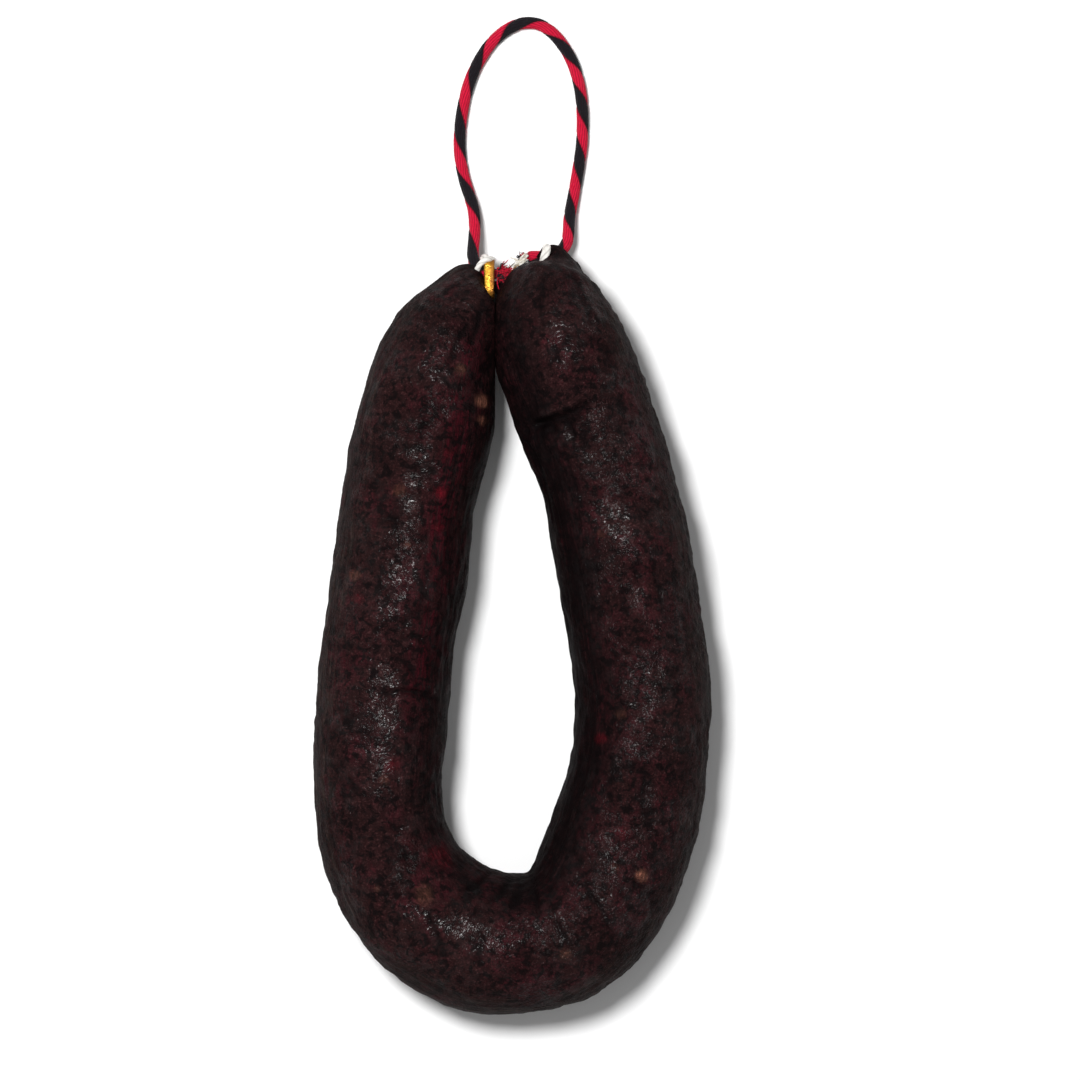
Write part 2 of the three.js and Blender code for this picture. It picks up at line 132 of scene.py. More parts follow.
# Folds of the casing: how deep, how wide, and the line in plan that each follows.
FOLDS = (
    (3.0, 1.8, ((5.0, 60.2), (10.0, 61.8), (14.5, 62.4), (18.6, 64.4), (23.0, 67.8))),
    (2.2, 1.5, ((17.6, 63.8), (17.0, 60.5), (18.4, 55.5))),
    (2.4, 1.4, ((4.0, 58.6), (7.0, 60.4), (10.0, 60.6), (13.0, 59.0))),
    (1.2, 1.0, ((3.6, 55.8), (6.4, 52.8), (8.4, 48.0), (9.4, 42.0))),
    (1.0, 1.4, ((6.5, 56.8), (11.0, 58.6), (15.5, 58.3))),
    (1.4, 0.9, ((-38.0, -19.5), (-32.0, -18.6), (-26.5, -19.4), (-22.5, -22.0))),
    (1.0, 0.9, ((-33.0, -3.6), (-29.0, -2.4), (-25.0, -4.0))),
    (1.3, 1.3, ((3.8, -73.0), (2.0, -79.0), (-1.0, -84.0))),
    (1.2, 1.3, ((1.0, -73.0), (-3.0, -78.5), (-8.0, -82.0))),
    (1.2, 1.2, ((5.2, -74.0), (7.0, -80.0), (8.0, -86.0))),
    (1.0, 1.2, ((-6.0, -72.5), (-10.0, -76.5), (-16.0, -79.0))),
    (1.3, 1.1, ((35.2, -75.0), (36.4, -76.4), (38.6, -77.0))),
    (0.7, 1.0, ((41.5, -76.0), (42.0, -84.0), (38.6, -92.0))),
    (1.1, 0.9, ((-36.5, -58.5), (-34.2, -60.3), (-31.2, -58.6))),
    (1.0, 1.0, ((-35.0, -66.0), (-33.0, -68.5), (-30.0, -67.0))),
    (1.0, 1.0, ((-19.0, 79.0), (-16.0, 86.0), (-13.0, 92.0))),
    (1.0, 1.0, ((-12.5, 84.0), (-10.0, 92.0), (-9.0, 97.5))),
    (0.8, 1.0, ((17.0, 108.5), (20.0, 100.0), (24.5, 90.0))),
    (0.8, 0.9, ((10.0, 107.0), (8.5, 98.0), (9.5, 88.0))),
    (1.0, 0.9, ((-33.0, 1.0), (-28.5, 5.0), (-26.0, 12.0), (-25.0, 20.0))),
    (0.9, 0.9, ((-41.0, 30.0), (-37.0, 33.0), (-33.5, 31.0))),
    (0.9, 0.9, ((-30.0, 58.0), (-26.0, 61.0), (-22.0, 60.0))),
    (0.9, 0.9, ((-36.0, -8.0), (-31.0, -11.0), (-28.0, -16.0))),
    (0.9, 1.0, ((-25.0, -86.0), (-22.5, -91.0), (-21.0, -98.0))),
    (0.9, 1.0, ((-10.0, -88.0), (-9.0, -94.0), (-11.0, -101.0))),
    (0.9, 1.0, ((12.0, -84.0), (14.0, -90.0), (19.0, -97.0))),
    (0.9, 1.0, ((22.0, -78.0), (27.0, -84.0), (30.0, -92.0))),
    (0.9, 0.9, ((40.0, -60.0), (38.5, -50.0), (40.5, -40.0))),
    (0.9, 0.9, ((46.0, 2.0), (43.0, 14.0), (40.0, 27.0))),
    (0.8, 0.9, ((30.0, 78.0), (27.0, 84.0), (22.0, 88.0))),
)

# The cord's route in metres: through the clip and the left tie, down onto the table, round the loop, up
# under the right neck and through the right tie. Each point is across, past the tip, and up.
CORD_ROUTE = (
    (-0.0047, -0.0088, 0.0160), (-0.0070, -0.0088, 0.0151), (-0.0093, -0.00795, 0.0140),
    (-0.0111, -0.0062, 0.0127), (-0.0119, -0.0034, 0.0109), (-0.0118, 0.0002, 0.0086),
    (-0.0115, 0.0039, 0.0065), (-0.0115, 0.0078, 0.0047), (-0.0120, 0.0116, 0.0034),
    (-0.0131, 0.0154, 0.0026), (-0.0146, 0.0202, 0.0020), (-0.0156, 0.0252, 0.0019),
    (-0.0161, 0.0304, 0.0019), (-0.0159, 0.0356, 0.0019), (-0.0152, 0.0410, 0.0019),
    (-0.0139, 0.0470, 0.0019), (-0.0120, 0.0524, 0.0019), (-0.0092, 0.0577, 0.0019),
    (-0.0059, 0.0621, 0.0019), (-0.0017, 0.0656, 0.0019), (0.0031, 0.0675, 0.0019),
    (0.0077, 0.0672, 0.0019), (0.0119, 0.0646, 0.0019), (0.0155, 0.0603, 0.0019),
    (0.0182, 0.0552, 0.0019), (0.0200, 0.0492, 0.0019), (0.0209, 0.0432, 0.0019),
    (0.0211, 0.0372, 0.0019), (0.0209, 0.0312, 0.0019), (0.0201, 0.0252, 0.0019),
    (0.0191, 0.0192, 0.0020), (0.0180, 0.0134, 0.0026), (0.0171, 0.0082, 0.0038),
    (0.0168, 0.0036, 0.0054), (0.0164, 0.0012, 0.0064), (0.0148, -0.0014, 0.0075),
    (0.0125, -0.0029, 0.0082), (0.0099, -0.0034, 0.0086), (0.0071, -0.0034, 0.0092),
    (0.0044, -0.0034, 0.0098),
)
CORD_DIAMETER = 0.0035
FIRST_TURN = 0.48  # share of a turn from the left end to where the black strand is first on top
SEAM_WIDTH = 0.2  # half width of the seam between the strands, in radians
SEAM_DEPTH = 0.13  # as a share of the cord's radius, like the next one
YARN_DEPTH = 0.08
YARN_WAVES = 7.5  # half the number of yarns round the cord
YARN_LAY = 0.011  # length over which they turn on by one
CORD_RINGS = 1040
CORD_SIDES = 72
CORD_SAMPLES = 6000  # along its curve, before the rings are spaced

# The left tie's one turn, in millimetres: round the neck and the cord, and past the clip's far corner.
LEFT_TIE_LINE = (
    (-9.9, 99.8, 13.8), (-10.0, 101.0, 15.2), (-10.2, 103.4, 16.0), (-10.7, 105.6, 17.2),
    (-10.7, 107.2, 18.4), (-9.4, 109.3, 19.4), (-7.7, 110.4, 19.2), (-6.1, 110.4, 17.4), (-5.9, 110.5, 15.0),
    (-7.0, 111.0, 12.0), (-8.8, 111.4, 10.0), (-9.8, 108.0, 9.6), (-9.9, 104.0, 10.4), (-9.9, 100.8, 12.0),
)
LEFT_TWINE = 0.85  # radius of the white twine at the left tie
RIGHT_TWINE = 0.9  # and at the right tie
LEFT_TWINE_RINGS = 260
RIGHT_TWINE_RINGS = 460
TWINE_SIDES = 30
TWINE_SAMPLES = 3000  # along its curve, before the rings are spaced
# The right tie's two turns go round the neck and the cord below it, which these points lie on.
RIGHT_TIE_NECK = (9.7, 112.1, 15.0)
RIGHT_TIE_CORD = (9.9, 111.6, 8.6)
RIGHT_TIE_WAY = math.radians(163.0)  # the way that both go through it, in plan
RIGHT_TIE_HALF_WIDTH = 2.75
RIGHT_TIE_HALF_LENGTH = 5.3
RIGHT_TIE_SQUARENESS = 0.72  # 1 is an ellipse, and less is squarer
RIGHT_TIE_WAIST = 0.5  # how far the turns are drawn in between the neck and the cord
RIGHT_TIE_SHIFT = 0.8  # from the middle of the tie to its first and last turn

# Bunches of loose yarns: root, way, how many, length, spread, radius, and which yarn, in millimetres.
LEFT_TUFT = (
    ((-4.2, 106.6, 16.6), (1.0, 0.1, 0.25), 34, 3.3, 0.3, 0.24, 0),
    ((-4.9, 101.2, 13.5), (0.0, -1.0, 0.0), 40, 3.2, 0.25, 0.28, 1),
    ((-3.8, 106.0, 16.6), (1.0, -0.1, 0.25), 34, 3.7, 0.45, 0.24, 0),
    ((-3.6, 105.0, 16.2), (0.8, -0.5, 0.1), 16, 3.4, 0.4, 0.22, 0),
    ((-3.8, 106.0, 16.8), (1.0, 0.1, 0.25), 30, 3.6, 0.45, 0.21, 1),
    ((-0.6, 103.8, 17.4), (0.6, -0.3, 0.0), 14, 2.2, 0.5, 0.24, 0),
    ((0.0, 106.8, 16.4), (0.7, 0.5, 0.3), 14, 2.2, 0.5, 0.24, 3),
)
RIGHT_TUFT = (
    ((4.4, 111.6, 9.9), (-1.0, -0.1, 0.2), 20, 2.4, 0.4, 0.22, 1),
    ((4.4, 111.6, 10.4), (-1.0, -0.15, 0.3), 16, 1.5, 0.3, 0.22, 0),
    ((4.2, 111.0, 11.6), (-1.0, -0.62, 0.2), 14, 4.2, 0.10, 0.28, 2),
)
ROOT_SPREAD = (0.5, 0.7, 0.55)
YARN_CURL = 0.32

# Where the clip is darker, in metres: painted shade towards its right side, and darker towards its lower end.
CLIP_LOW = (0.0990, 0.1025)  # along, from the clip's lower end to where it is bright
CLIP_RIGHT = (-0.0072, -0.0064)  # across, from where it is bright to its right side

# The camera and the studio, in metres.
VIEW_WIDTH = 0.324  # across the picture, at the height of the sausage's widest line
VIEW_MIDDLE = (0.00825, 0.02625)
LENS = 250.0  # millimetres
SENSOR = 36.0
TABLE_HALF = 1.6
TABLE_CORNERS = ((-1, -1), (1, -1), (1, 1), (-1, 1))
TABLE_DROP = 0.0002  # the table's top lies this far below the sausage
KEY_PLACE, KEY_SIZE = (-0.28, 0.27, 1.25), 0.30
TOP_PLACE, TOP_SIZE = (0.02, 0.06, 1.3), 0.10


def colour_setting(name, description, rgb):
    """A colour setting."""
    return bpy.props.FloatVectorProperty(name=name, description=description, default=rgb, subtype="COLOR")


def length_setting(name, description, metres):
    """A length setting."""
    return bpy.props.FloatProperty(name=name, description=description, default=metres, unit="LENGTH")


def power_setting(name, description, watts):
    """A lamp's power setting."""
    return bpy.props.FloatProperty(name=name, description=description, default=watts, unit="POWER")


class SausageCasingSettings(bpy.types.PropertyGroup):
    brown: colour_setting("Brown", "Dried casing", (0.0180, 0.0060, 0.0062))
    specks: colour_setting("Specks", "Fine paler specks in it", (0.060, 0.024, 0.024))
    burgundy: colour_setting("Burgundy", "Lean meat showing through", (0.043, 0.0066, 0.0100))
    band: colour_setting("Band", "Redder band along the left leg", (0.046, 0.0032, 0.0070))
    # Black is random dark mottling, and also painted shade in the seams, wrinkle lines, folds and hollows; it
    # darkens the inner sides of the legs.
    black: colour_setting("Black", "Driest and darkest casing", (0.0022, 0.0014, 0.0016))
    # Paler in streaks on the outer flanks.
    pale_flank: colour_setting("Dust", "Matt bloom on the outer flanks", (0.038, 0.026, 0.021))
    # The fat colour also paints one highlight.
    fat: colour_setting("Fat", "Fat showing through", (0.24, 0.092, 0.060))
    raw: colour_setting("Raw Red", "Raw red spots", (0.12, 0.005, 0.011))
    lumps: length_setting("Lumps", "Height of the filling's lumps", 0.0007)
    wrinkles: length_setting("Wrinkles", "Depth of the lengthwise wrinkles", 0.0003)
    grain: length_setting("Grain", "Height of the skin's finest relief", 0.00022)
    grease: length_setting("Grease", "Height of the swells that the grease lies in", 0.0005)


class SausageCordSettings(bpy.types.PropertyGroup):
    red: colour_setting("Red", "Red strand", (0.50, 0.003, 0.026))
    bright_red: colour_setting("Bright Red", "Fibres that catch the light in it", (0.66, 0.014, 0.055))
    dark_red: colour_setting("Dark Red", "Shaded fibres of the loose red yarn", (0.20, 0.002, 0.010))
    black: colour_setting("Black", "Black strand", (0.0045, 0.0045, 0.006))
    worn_black: colour_setting("Worn Black", "Paler fibres in it", (0.014, 0.014, 0.018))
    loose_black: colour_setting("Loose Black", "Paler fibres of the loose black yarn", (0.010, 0.009, 0.011))
    valley: colour_setting("Valley", "Shade between the yarns", (0.012, 0.002, 0.004))
    first_lay: length_setting("First Lay", "Length of a strand's full turn at the left end", 0.0225)
    last_lay: length_setting("Last Lay", "Length of a strand's full turn at the right end", 0.0156)


class SausageBindingSettings(bpy.types.PropertyGroup):
    twine: colour_setting("Twine", "White cotton twine", (0.74, 0.72, 0.68))
    stain: colour_setting("Stain", "Stained twine", (0.42, 0.37, 0.29))
    shaded: colour_setting("Shaded", "Shade between the plies", (0.2, 0.18, 0.16))
    thread: colour_setting("Thread", "Duller fibres of the loose white thread", (0.5, 0.45, 0.36))
    straw: colour_setting("Straw", "Dried fibre", (0.32, 0.2, 0.07))
    dark_straw: colour_setting("Dark Straw", "Darker dried fibre", (0.16, 0.09, 0.04))
    brass: colour_setting("Brass", "Gold clip", (0.66, 0.35, 0.042))
    # Copper is real tarnish in patches, painted shade towards the clip's right side, and darker towards its
    # lower end.
    copper: colour_setting("Copper", "Tarnish on the clip", (0.30, 0.11, 0.025))


class SausageStageSettings(bpy.types.PropertyGroup):
    table: colour_setting("Table", "Pale table top", (0.86, 0.86, 0.86))
    sky: bpy.props.FloatProperty(
        name="Sky", description="Strength of the even light", default=0.34, min=0.0, max=1.0, subtype="FACTOR"
    )
    key_power: power_setting("Key Light", "Soft light from the upper left", 20.0)
    top_power: power_setting("Top Light", "Glints from overhead", 16.0)


def spline(points, count):
    """Centripetal Catmull-Rom: every span is the cubic through its two points whose end slopes come from
    the neighbouring points, spaced by the square roots of their distances. The samples are even in
    parameter."""
    points = np.asarray(points, float)
    padded = np.vstack([2 * points[0] - points[1], points, 2 * points[-1] - points[-2]])
    where = np.linspace(0, len(points) - 1, count)
    span = np.minimum(where.astype(int), len(points) - 2)
    t = (where - span)[:, None]
    p0, p1, p2, p3 = (padded[span + k] for k in range(4))
    d0, d1, d2 = (
        np.sqrt(np.linalg.norm(b - a, axis=1, keepdims=True)) for a, b in ((p0, p1), (p1, p2), (p2, p3))
    )
    leaving = ((p1 - p0) / d0 - (p2 - p0) / (d0 + d1) + (p2 - p1) / d1) * d1
    arriving = ((p2 - p1) / d1 - (p3 - p1) / (d1 + d2) + (p3 - p2) / d2) * d1
    return (
        p1
        + leaving * t
        + (3 * (p2 - p1) - 2 * leaving - arriving) * t**2
        + (2 * (p1 - p2) + leaving + arriving) * t**3
    )


def arc_length(points):
    """Running length of a polyline through the points."""
    return np.concatenate([[0.0], np.cumsum(np.linalg.norm(np.diff(points[:, :3], axis=0), axis=1))])


def respaced(points, spacing, count):
    """That many points along the polyline, with steps in proportion to the spacing given at each old one."""
    steps = np.diff(arc_length(points)) / ((spacing[1:] + spacing[:-1]) / 2)
    travelled = np.concatenate([[0.0], np.cumsum(steps)])
    wanted = np.linspace(0, travelled[-1], count)
    return np.column_stack([np.interp(wanted, travelled, column) for column in points.T])


def softened(values, reach):
    """Each column smoothed along by a bell curve of that many samples. The ends are carried on by turning
    the samples about the end point, so the end points stay."""
    span = int(3 * reach)
    bell = np.exp(-0.5 * (np.arange(-span, span + 1) / reach) ** 2)
    bell /= bell.sum()
    before = 2 * values[0] - values[span:0:-1]
    after = 2 * values[-1] - values[-2 : -span - 2 : -1]
    longer = np.vstack([before, values, after])
    return np.column_stack([np.convolve(column, bell, "valid") for column in longer.T])


def unit(vectors):
    """The vectors at length one."""
    return vectors / np.linalg.norm(vectors, axis=-1, keepdims=True)


def smooth_step(low, high, values):
    """0 below low and 1 above high, with a smooth cubic between."""
    t = np.clip((values - low) / (high - low), 0, 1)
    return t * t * (3 - 2 * t)


def noise(points, seed):
    """Smooth noise between about -1 and 1. Every corner of the unit cubes has a fixed direction from an
    integer hash, and the eight products of direction and offset are blended by quintic weights."""
    cell = np.floor(points).astype(np.int64)
    local = points - cell
    fade = local**3 * (local * (local * 6 - 15) + 10)
    total = np.zeros(points.shape[:-1])
    for corner in np.ndindex(2, 2, 2):
        key = (cell + corner) * np.array([73856093, 19349663, 83492791])
        mixed = (key[..., 0] ^ key[..., 1] ^ key[..., 2] ^ (seed * 668265263)) & 0xFFFFFFFF
        mixed = (mixed ^ (mixed >> 15)) * 2246822519 & 0xFFFFFFFF
        mixed = (mixed ^ (mixed >> 13)) * 3266489917 & 0xFFFFFFFF
        mixed ^= mixed >> 16
        turn = (mixed & 0xFFFF) * (2 * math.pi / 65536)
        rise = (mixed >> 16) / 32768 - 1
        flat = np.sqrt(np.maximum(1 - rise**2, 0))
        offset = local - corner
        level = np.cos(turn) * offset[..., 0] + np.sin(turn) * offset[..., 1]
        product = flat * level + rise * offset[..., 2]
        total += product * np.prod(np.where(corner, fade, 1 - fade), axis=-1)
    return total * 1.7


def near_line(plan, line, width):
    """1 on the line, falling off as a bell of that width and fading towards the line's ends."""
    line = np.asarray(line, float)
    lengths = np.concatenate([[0.0], np.cumsum(np.linalg.norm(np.diff(line, axis=0), axis=1))])
    nearest = np.full(plan.shape[:-1], 1e9)
    place = np.zeros(plan.shape[:-1])
    for start, end, before, after in zip(line[:-1], line[1:], lengths[:-1], lengths[1:]):
        step = end - start
        t = np.clip(((plan - start) @ step) / (step @ step), 0, 1)
        away = np.linalg.norm(plan - start - t[..., None] * step, axis=-1)
        closer = away < nearest
        nearest = np.where(closer, away, nearest)
        place = np.where(closer, (before + t * (after - before)) / lengths[-1], place)
    ends = np.sqrt(np.clip(4 * place * (1 - place), 0, 1))
    return np.exp(-((nearest / width) ** 2)) * ends


def near_places(plan, places, ragged):
    """The strongest of the round places at each point of the plan, each a bell with a ragged edge."""
    total = np.zeros(plan.shape[:-1])
    for across, along, radius, strength in places:
        away = np.linalg.norm(plan - (across, along), axis=-1) / radius
        total = np.maximum(total, strength * smooth_step(1.35, 0.35, away + ragged))
    return total


def frames(line):
    """Unit vectors at each point of the line: ahead, to its right seen from above, and over it."""
    ahead = unit(np.gradient(line, axis=0))
    side = unit(np.cross(ahead, UP))
    return ahead, side, np.cross(side, ahead)


def tube_mesh(name, rings, attributes=None, uv=None, closed=False):
    """A mesh from a grid of points, rings by sides. Each ring is joined to the next and each side to the
    next one round. The two ends get a fan to their middle, unless the rings close on themselves."""
    count, sides = rings.shape[:2]
    ring, side = np.meshgrid(np.arange(count if closed else count - 1), np.arange(sides), indexing="ij")
    following, beside = (ring + 1) % count, (side + 1) % sides
    near, far = ring * sides, following * sides
    quads = np.stack([near + side, far + side, far + beside, near + beside], -1).reshape(-1, 4)
    points = rings.reshape(-1, 3)
    fans = np.zeros((0, 3), int)
    if not closed:
        points = np.vstack([points, rings[0].mean(0), rings[-1].mean(0)])
        turn = np.arange(sides)
        after = (turn + 1) % sides
        middle, last = count * sides, (count - 1) * sides
        fans = np.vstack(
            [
                np.column_stack([np.full(sides, middle), turn, after]),
                np.column_stack([np.full(sides, middle + 1), last + after, last + turn]),
            ]
        )
    mesh = bpy.data.meshes.new(name)
    mesh.vertices.add(len(points))
    mesh.vertices.foreach_set("co", points.astype(np.float32).ravel())
    corners = np.concatenate([quads.ravel(), fans.ravel()])
    starts = np.concatenate([np.arange(len(quads)) * 4, len(quads) * 4 + np.arange(len(fans)) * 3])
    mesh.loops.add(len(corners))
    mesh.loops.foreach_set("vertex_index", corners.astype(np.int32))
    mesh.polygons.add(len(starts))
    mesh.polygons.foreach_set("loop_start", starts.astype(np.int32))
    mesh.polygons.foreach_set("use_smooth", np.ones(len(starts), bool))
    for key, values in (attributes or {}).items():
        layer = mesh.attributes.new(key, "FLOAT", "POINT")
        flat = np.zeros(len(points), np.float32)
        flat[: values.size] = values.ravel()
        layer.data.foreach_set("value", flat)
    if uv is not None:
        along, around = uv
        u = np.stack([along[ring], along[ring + 1], along[ring + 1], along[ring]], -1)
        v = np.stack([around[side], around[side], around[side + 1], around[side + 1]], -1)
        flat = np.zeros((len(corners), 2), np.float32)
        flat[: quads.size, 0] = u.ravel()
        flat[: quads.size, 1] = v.ravel()
        flat[quads.size :, 0] = np.repeat([along[0], along[-1]], sides * 3) if len(fans) else 0
        mesh.uv_layers.new(name="Around").data.foreach_set("uv", flat.ravel())
    mesh.update(calc_edges=True)
    mesh.validate()
    return mesh


def placed(name, mesh, materials, cad_node):
    """Puts the mesh in the scene as a piece that rides on the body, and hides the node it stands for."""
    for material in materials:
        mesh.materials.append(material)
    piece = bpy.data.objects.new(name, mesh)
    bpy.context.scene.collection.objects.link(piece)
    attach(piece, "root")
    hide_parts(cad_node)
    return piece


def casing_surface(settings):
    """The casing is a circle carried along the stations. Its middle rises from the necks to the full legs,
    and on the inside of the bend the circle stops short of the bend's centre. Along each radius it stands
    out by four sizes of noise for the filling, by ridged noise stretched lengthwise and crosswise for
    wrinkles, by pleats that grow towards the necks, by a lip beside each fold and by its fat, and it falls in
    along the folds. The table and the other leg press it flat. The masks say where each colour and the gloss
    lie."""
    stations = np.array(CASING_STATIONS)
    radius = (stations[:, 2] + stations[:, 3]) / 2
    share = np.clip((radius - NECK) / (GIRTH - NECK), 0, 1)
    height = NECK_HEIGHT + (GIRTH - REST_FLAT - NECK_HEIGHT) * share**2
    line = spline(np.column_stack([stations[:, :2], height, stations[:, 2:]]), STATION_SAMPLES)
    even = respaced(line, np.ones(len(line)), EVEN_SAMPLES)
    share = np.clip((even[:, 3] - NECK) / (GIRTH - NECK), 0, 1)[:, None]
    step = arc_length(even)[1]
    even = even + (softened(even, EVENED_OVER / step) - even) * smooth_step(0.5, 0.9, share)
    line = respaced(even, 0.3 + 0.7 * share[:, 0], CASING_RINGS)
    middle, reach_out, reach_in = line[:, :3], line[:, 3:4], line[:, 4:5]
    radius = (line[:, 3] + line[:, 4]) / 2
    share = np.clip((radius - NECK) / (GIRTH - NECK), 0, 1)[:, None]
    travelled = arc_length(middle)
    ahead, side, over = frames(middle)
    bending = np.einsum("ij,ij->i", np.gradient(ahead, travelled, axis=0), -side)
    bending = softened(bending[:, None], 9)[:, 0]

    angle = 2 * math.pi * np.arange(CASING_SIDES) / CASING_SIDES - math.pi / 2
    outwards, upwards = np.cos(angle)[None, :], np.sin(angle)[None, :]
    across = np.where(outwards > 0, reach_out, reach_in) * outwards
    folds_at = BEND_SHARE / np.maximum(np.abs(bending), 1e-4)[:, None]
    inside = -across * np.sign(bending)[:, None]
    squeezed = folds_at * np.tanh((inside / folds_at) ** 4) ** 0.25
    across = np.where(inside > 0, -np.sign(bending)[:, None] * np.minimum(squeezed, inside), across)
    rise = np.minimum(radius, GIRTH)[:, None] * upwards
    points = middle[:, None] + across[..., None] * side[:, None] + rise[..., None] * over[:, None]
    normal = outwards[..., None] * side[:, None] + upwards[..., None] * over[:, None]

    plan = points[..., :2]
    fullness = np.broadcast_to(share, across.shape)
    left = travelled[:, None] < travelled[-1] / 2
    top = smooth_step(-0.1, 0.35, np.broadcast_to(upwards, across.shape))
    lengthwise = np.stack(
        [
            np.broadcast_to(travelled[:, None], across.shape),
            np.broadcast_to(GIRTH * angle[None, :] * share, across.shape),
            np.zeros(across.shape),
        ],
        -1,
    )
    ragged = 0.35 * noise(points / 3.5, 3) + 0.2 * noise(points / 1.4, 4)

    facing_in = -np.broadcast_to(outwards, across.shape)
    inner = smooth_step(0.15, 0.75, facing_in) * smooth_step(0.5, 0.9, fullness)
    outer = smooth_step(0.55, 0.95, -facing_in)
    pebbled = smooth_step(-0.25, 0.35, noise(points / 16, 5) + 0.25 - 0.5 * left)
    pebbled = np.clip(pebbled * smooth_step(0.3, 0.8, fullness) * (1 - inner) + 0.15, 0, 1)

    lumps = settings.lumps / MM
    wrinkles = settings.wrinkles / MM
    ridge = 1 - 2 * np.abs(noise(lengthwise * (0.045, 0.42, 1), 6))
    fine_ridge = 1 - 2 * np.abs(noise(lengthwise * (0.09, 0.9, 1), 7))
    shifted = lengthwise * (0.6, 0.07, 1) + 0.15 * noise(points / 6, 8)[..., None]
    crinkle = 1 - 2 * np.abs(noise(shifted, 9))
    relief = lumps * 0.9 * noise(points / 23, 1) * fullness
    relief += lumps * 0.5 * noise(points / 10, 2) * fullness
    fine = lumps * 0.35 * noise(points / 4.6 + 0.35 * noise(points / 7, 13)[..., None], 10)
    fine += lumps * 0.4 * noise(points / 2.1, 11) * pebbled
    relief += fine * fullness
    relief += wrinkles * (ridge - 0.4) * (0.25 + 0.9 * inner + 0.3 * outer) * fullness
    relief += wrinkles * 0.4 * (fine_ridge - 0.4) * (0.2 + inner + 0.4 * outer) * fullness
    relief += wrinkles * 0.28 * (crinkle - 0.4) * (1 - inner) * fullness

    gather = (1 - fullness) ** 1.6
    wander = 1.2 * noise(lengthwise * (0.09, 0.05, 1), 12)
    pleats = 0.75 * np.abs(np.sin(8 * angle[None, :] + 2.5 * wander))
    pleats += 0.25 * np.abs(np.sin(13 * angle[None, :] - 3 * wander))
    depth = np.where(left, 0.16, 0.055) * radius[:, None]
    relief += (pleats - 0.6) * gather * np.minimum(depth, 0.9)

    creased = np.zeros(across.shape)
    for deep, wide, fold in FOLDS:
        groove = near_line(plan + 0.6 * ragged[..., None], fold, wide) * top
        creased = np.maximum(creased, groove * min(deep, 1.0))
        relief -= deep * groove * (0.8 + 0.5 * ragged)
        relief += LIP * deep * near_line(plan - (0.5 * wide, 1.5 * wide), fold, wide) * top

    red = near_places(plan, RED_PLACES, ragged) * top
    # Fat, and one painted highlight in the fat's colour.
    fat = near_places(plan, FAT_AND_HIGHLIGHT_PLACES, 0.9 * ragged) * top
    raw = near_places(plan, RAW_PLACES, 0.7 * ragged) * top
    greasy = near_places(plan, GREASY_PLACES, ragged) * top
    length_of_band = smooth_step(*BAND_STARTS, plan[..., 1]) * smooth_step(*BAND_ENDS, plan[..., 1])
    red_band = left * top * length_of_band * np.exp(-(((facing_in - 0.52 + 0.25 * ragged) / 0.2) ** 2))
    relief += FAT_STANDS * fat
    points = points + relief[..., None] * normal

    beyond = points[..., 0] - PARTING
    meeting = smooth_step(*LEGS_MEET, points[..., 1]) * smooth_step(0.12, 0.3, fullness)
    pressed = np.where(left, np.minimum(beyond, -LEG_CLEARANCE), np.maximum(beyond, LEG_CLEARANCE))
    points[..., 0] = PARTING + beyond + meeting * (pressed - beyond)
    points[..., 2] = 0.5 * (points[..., 2] + np.sqrt(points[..., 2] ** 2 + TABLE_EASE**2))

    masks = {
        "burgundy": red,
        "fat": fat,
        "raw": raw,
        "greasy": greasy,
        "red_band": red_band,
        "inner_side": inner,
        "outer_side": outer,
        "pebbled": pebbled,
        "gathered": gather,
        # Shade is painted where the next two say: in the folds and in the relief's hollows.
        "creased": creased,
        "hollow": smooth_step(0.02, -0.3, fine + wrinkles * (ridge - 0.45) * (0.4 + inner)),
        "flank": smooth_step(0.55, 0.95, np.abs(facing_in)),
        "left_leg": smooth_step(-10, 10, -points[..., 0]),
    }
    around = (angle[0] + 2 * math.pi * np.arange(CASING_SIDES + 1) / CASING_SIDES) * GIRTH
    return points * MM, masks, (travelled * MM, around * MM)


def node(tree, kind, inputs=None, **settings):
    """A shader node. Its inputs are given by name or number: a socket is linked and anything else is set."""
    made = tree.nodes.new(kind)
    for key, value in settings.items():
        setattr(made, key, value)
    for key, value in (inputs or {}).items():
        if isinstance(value, bpy.types.NodeSocket):
            tree.links.new(value, made.inputs[key])
        else:
            made.inputs[key].default_value = value
    return made


def colour(rgb):
    """A colour with full alpha."""
    return (*rgb[:3], 1.0)


def blend(tree, factor, first, second):
    """Mixes two colours by a factor."""
    made = node(tree, "ShaderNodeMix", {0: factor, 6: first, 7: second}, data_type="RGBA")
    return made.outputs[2]


def maths(tree, operation, first, second, clamp=False):
    """One sum on two numbers."""
    inputs = {0: first, 1: second}
    return node(tree, "ShaderNodeMath", inputs, operation=operation, use_clamp=clamp).outputs[0]


def times(tree, first, second):
    """The product of two numbers."""
    return maths(tree, "MULTIPLY", first, second)


def plus(tree, first, second, clamp=False):
    """The sum of two numbers."""
    return maths(tree, "ADD", first, second, clamp)


def less(tree, first, second, clamp=False):
    """The first number less the second."""
    return maths(tree, "SUBTRACT", first, second, clamp)


def larger(tree, first, second):
    """The larger of two numbers."""
    return maths(tree, "MAXIMUM", first, second)


def lines_in(tree, value):
    """1 where a pattern crosses its middle, which makes thin lines, and 0 a little away from there."""
    away = node(tree, "ShaderNodeMath", {0: less(tree, value, 0.5)}, operation="ABSOLUTE").outputs[0]
    return less(tree, 1.0, times(tree, away, 9.0), True)


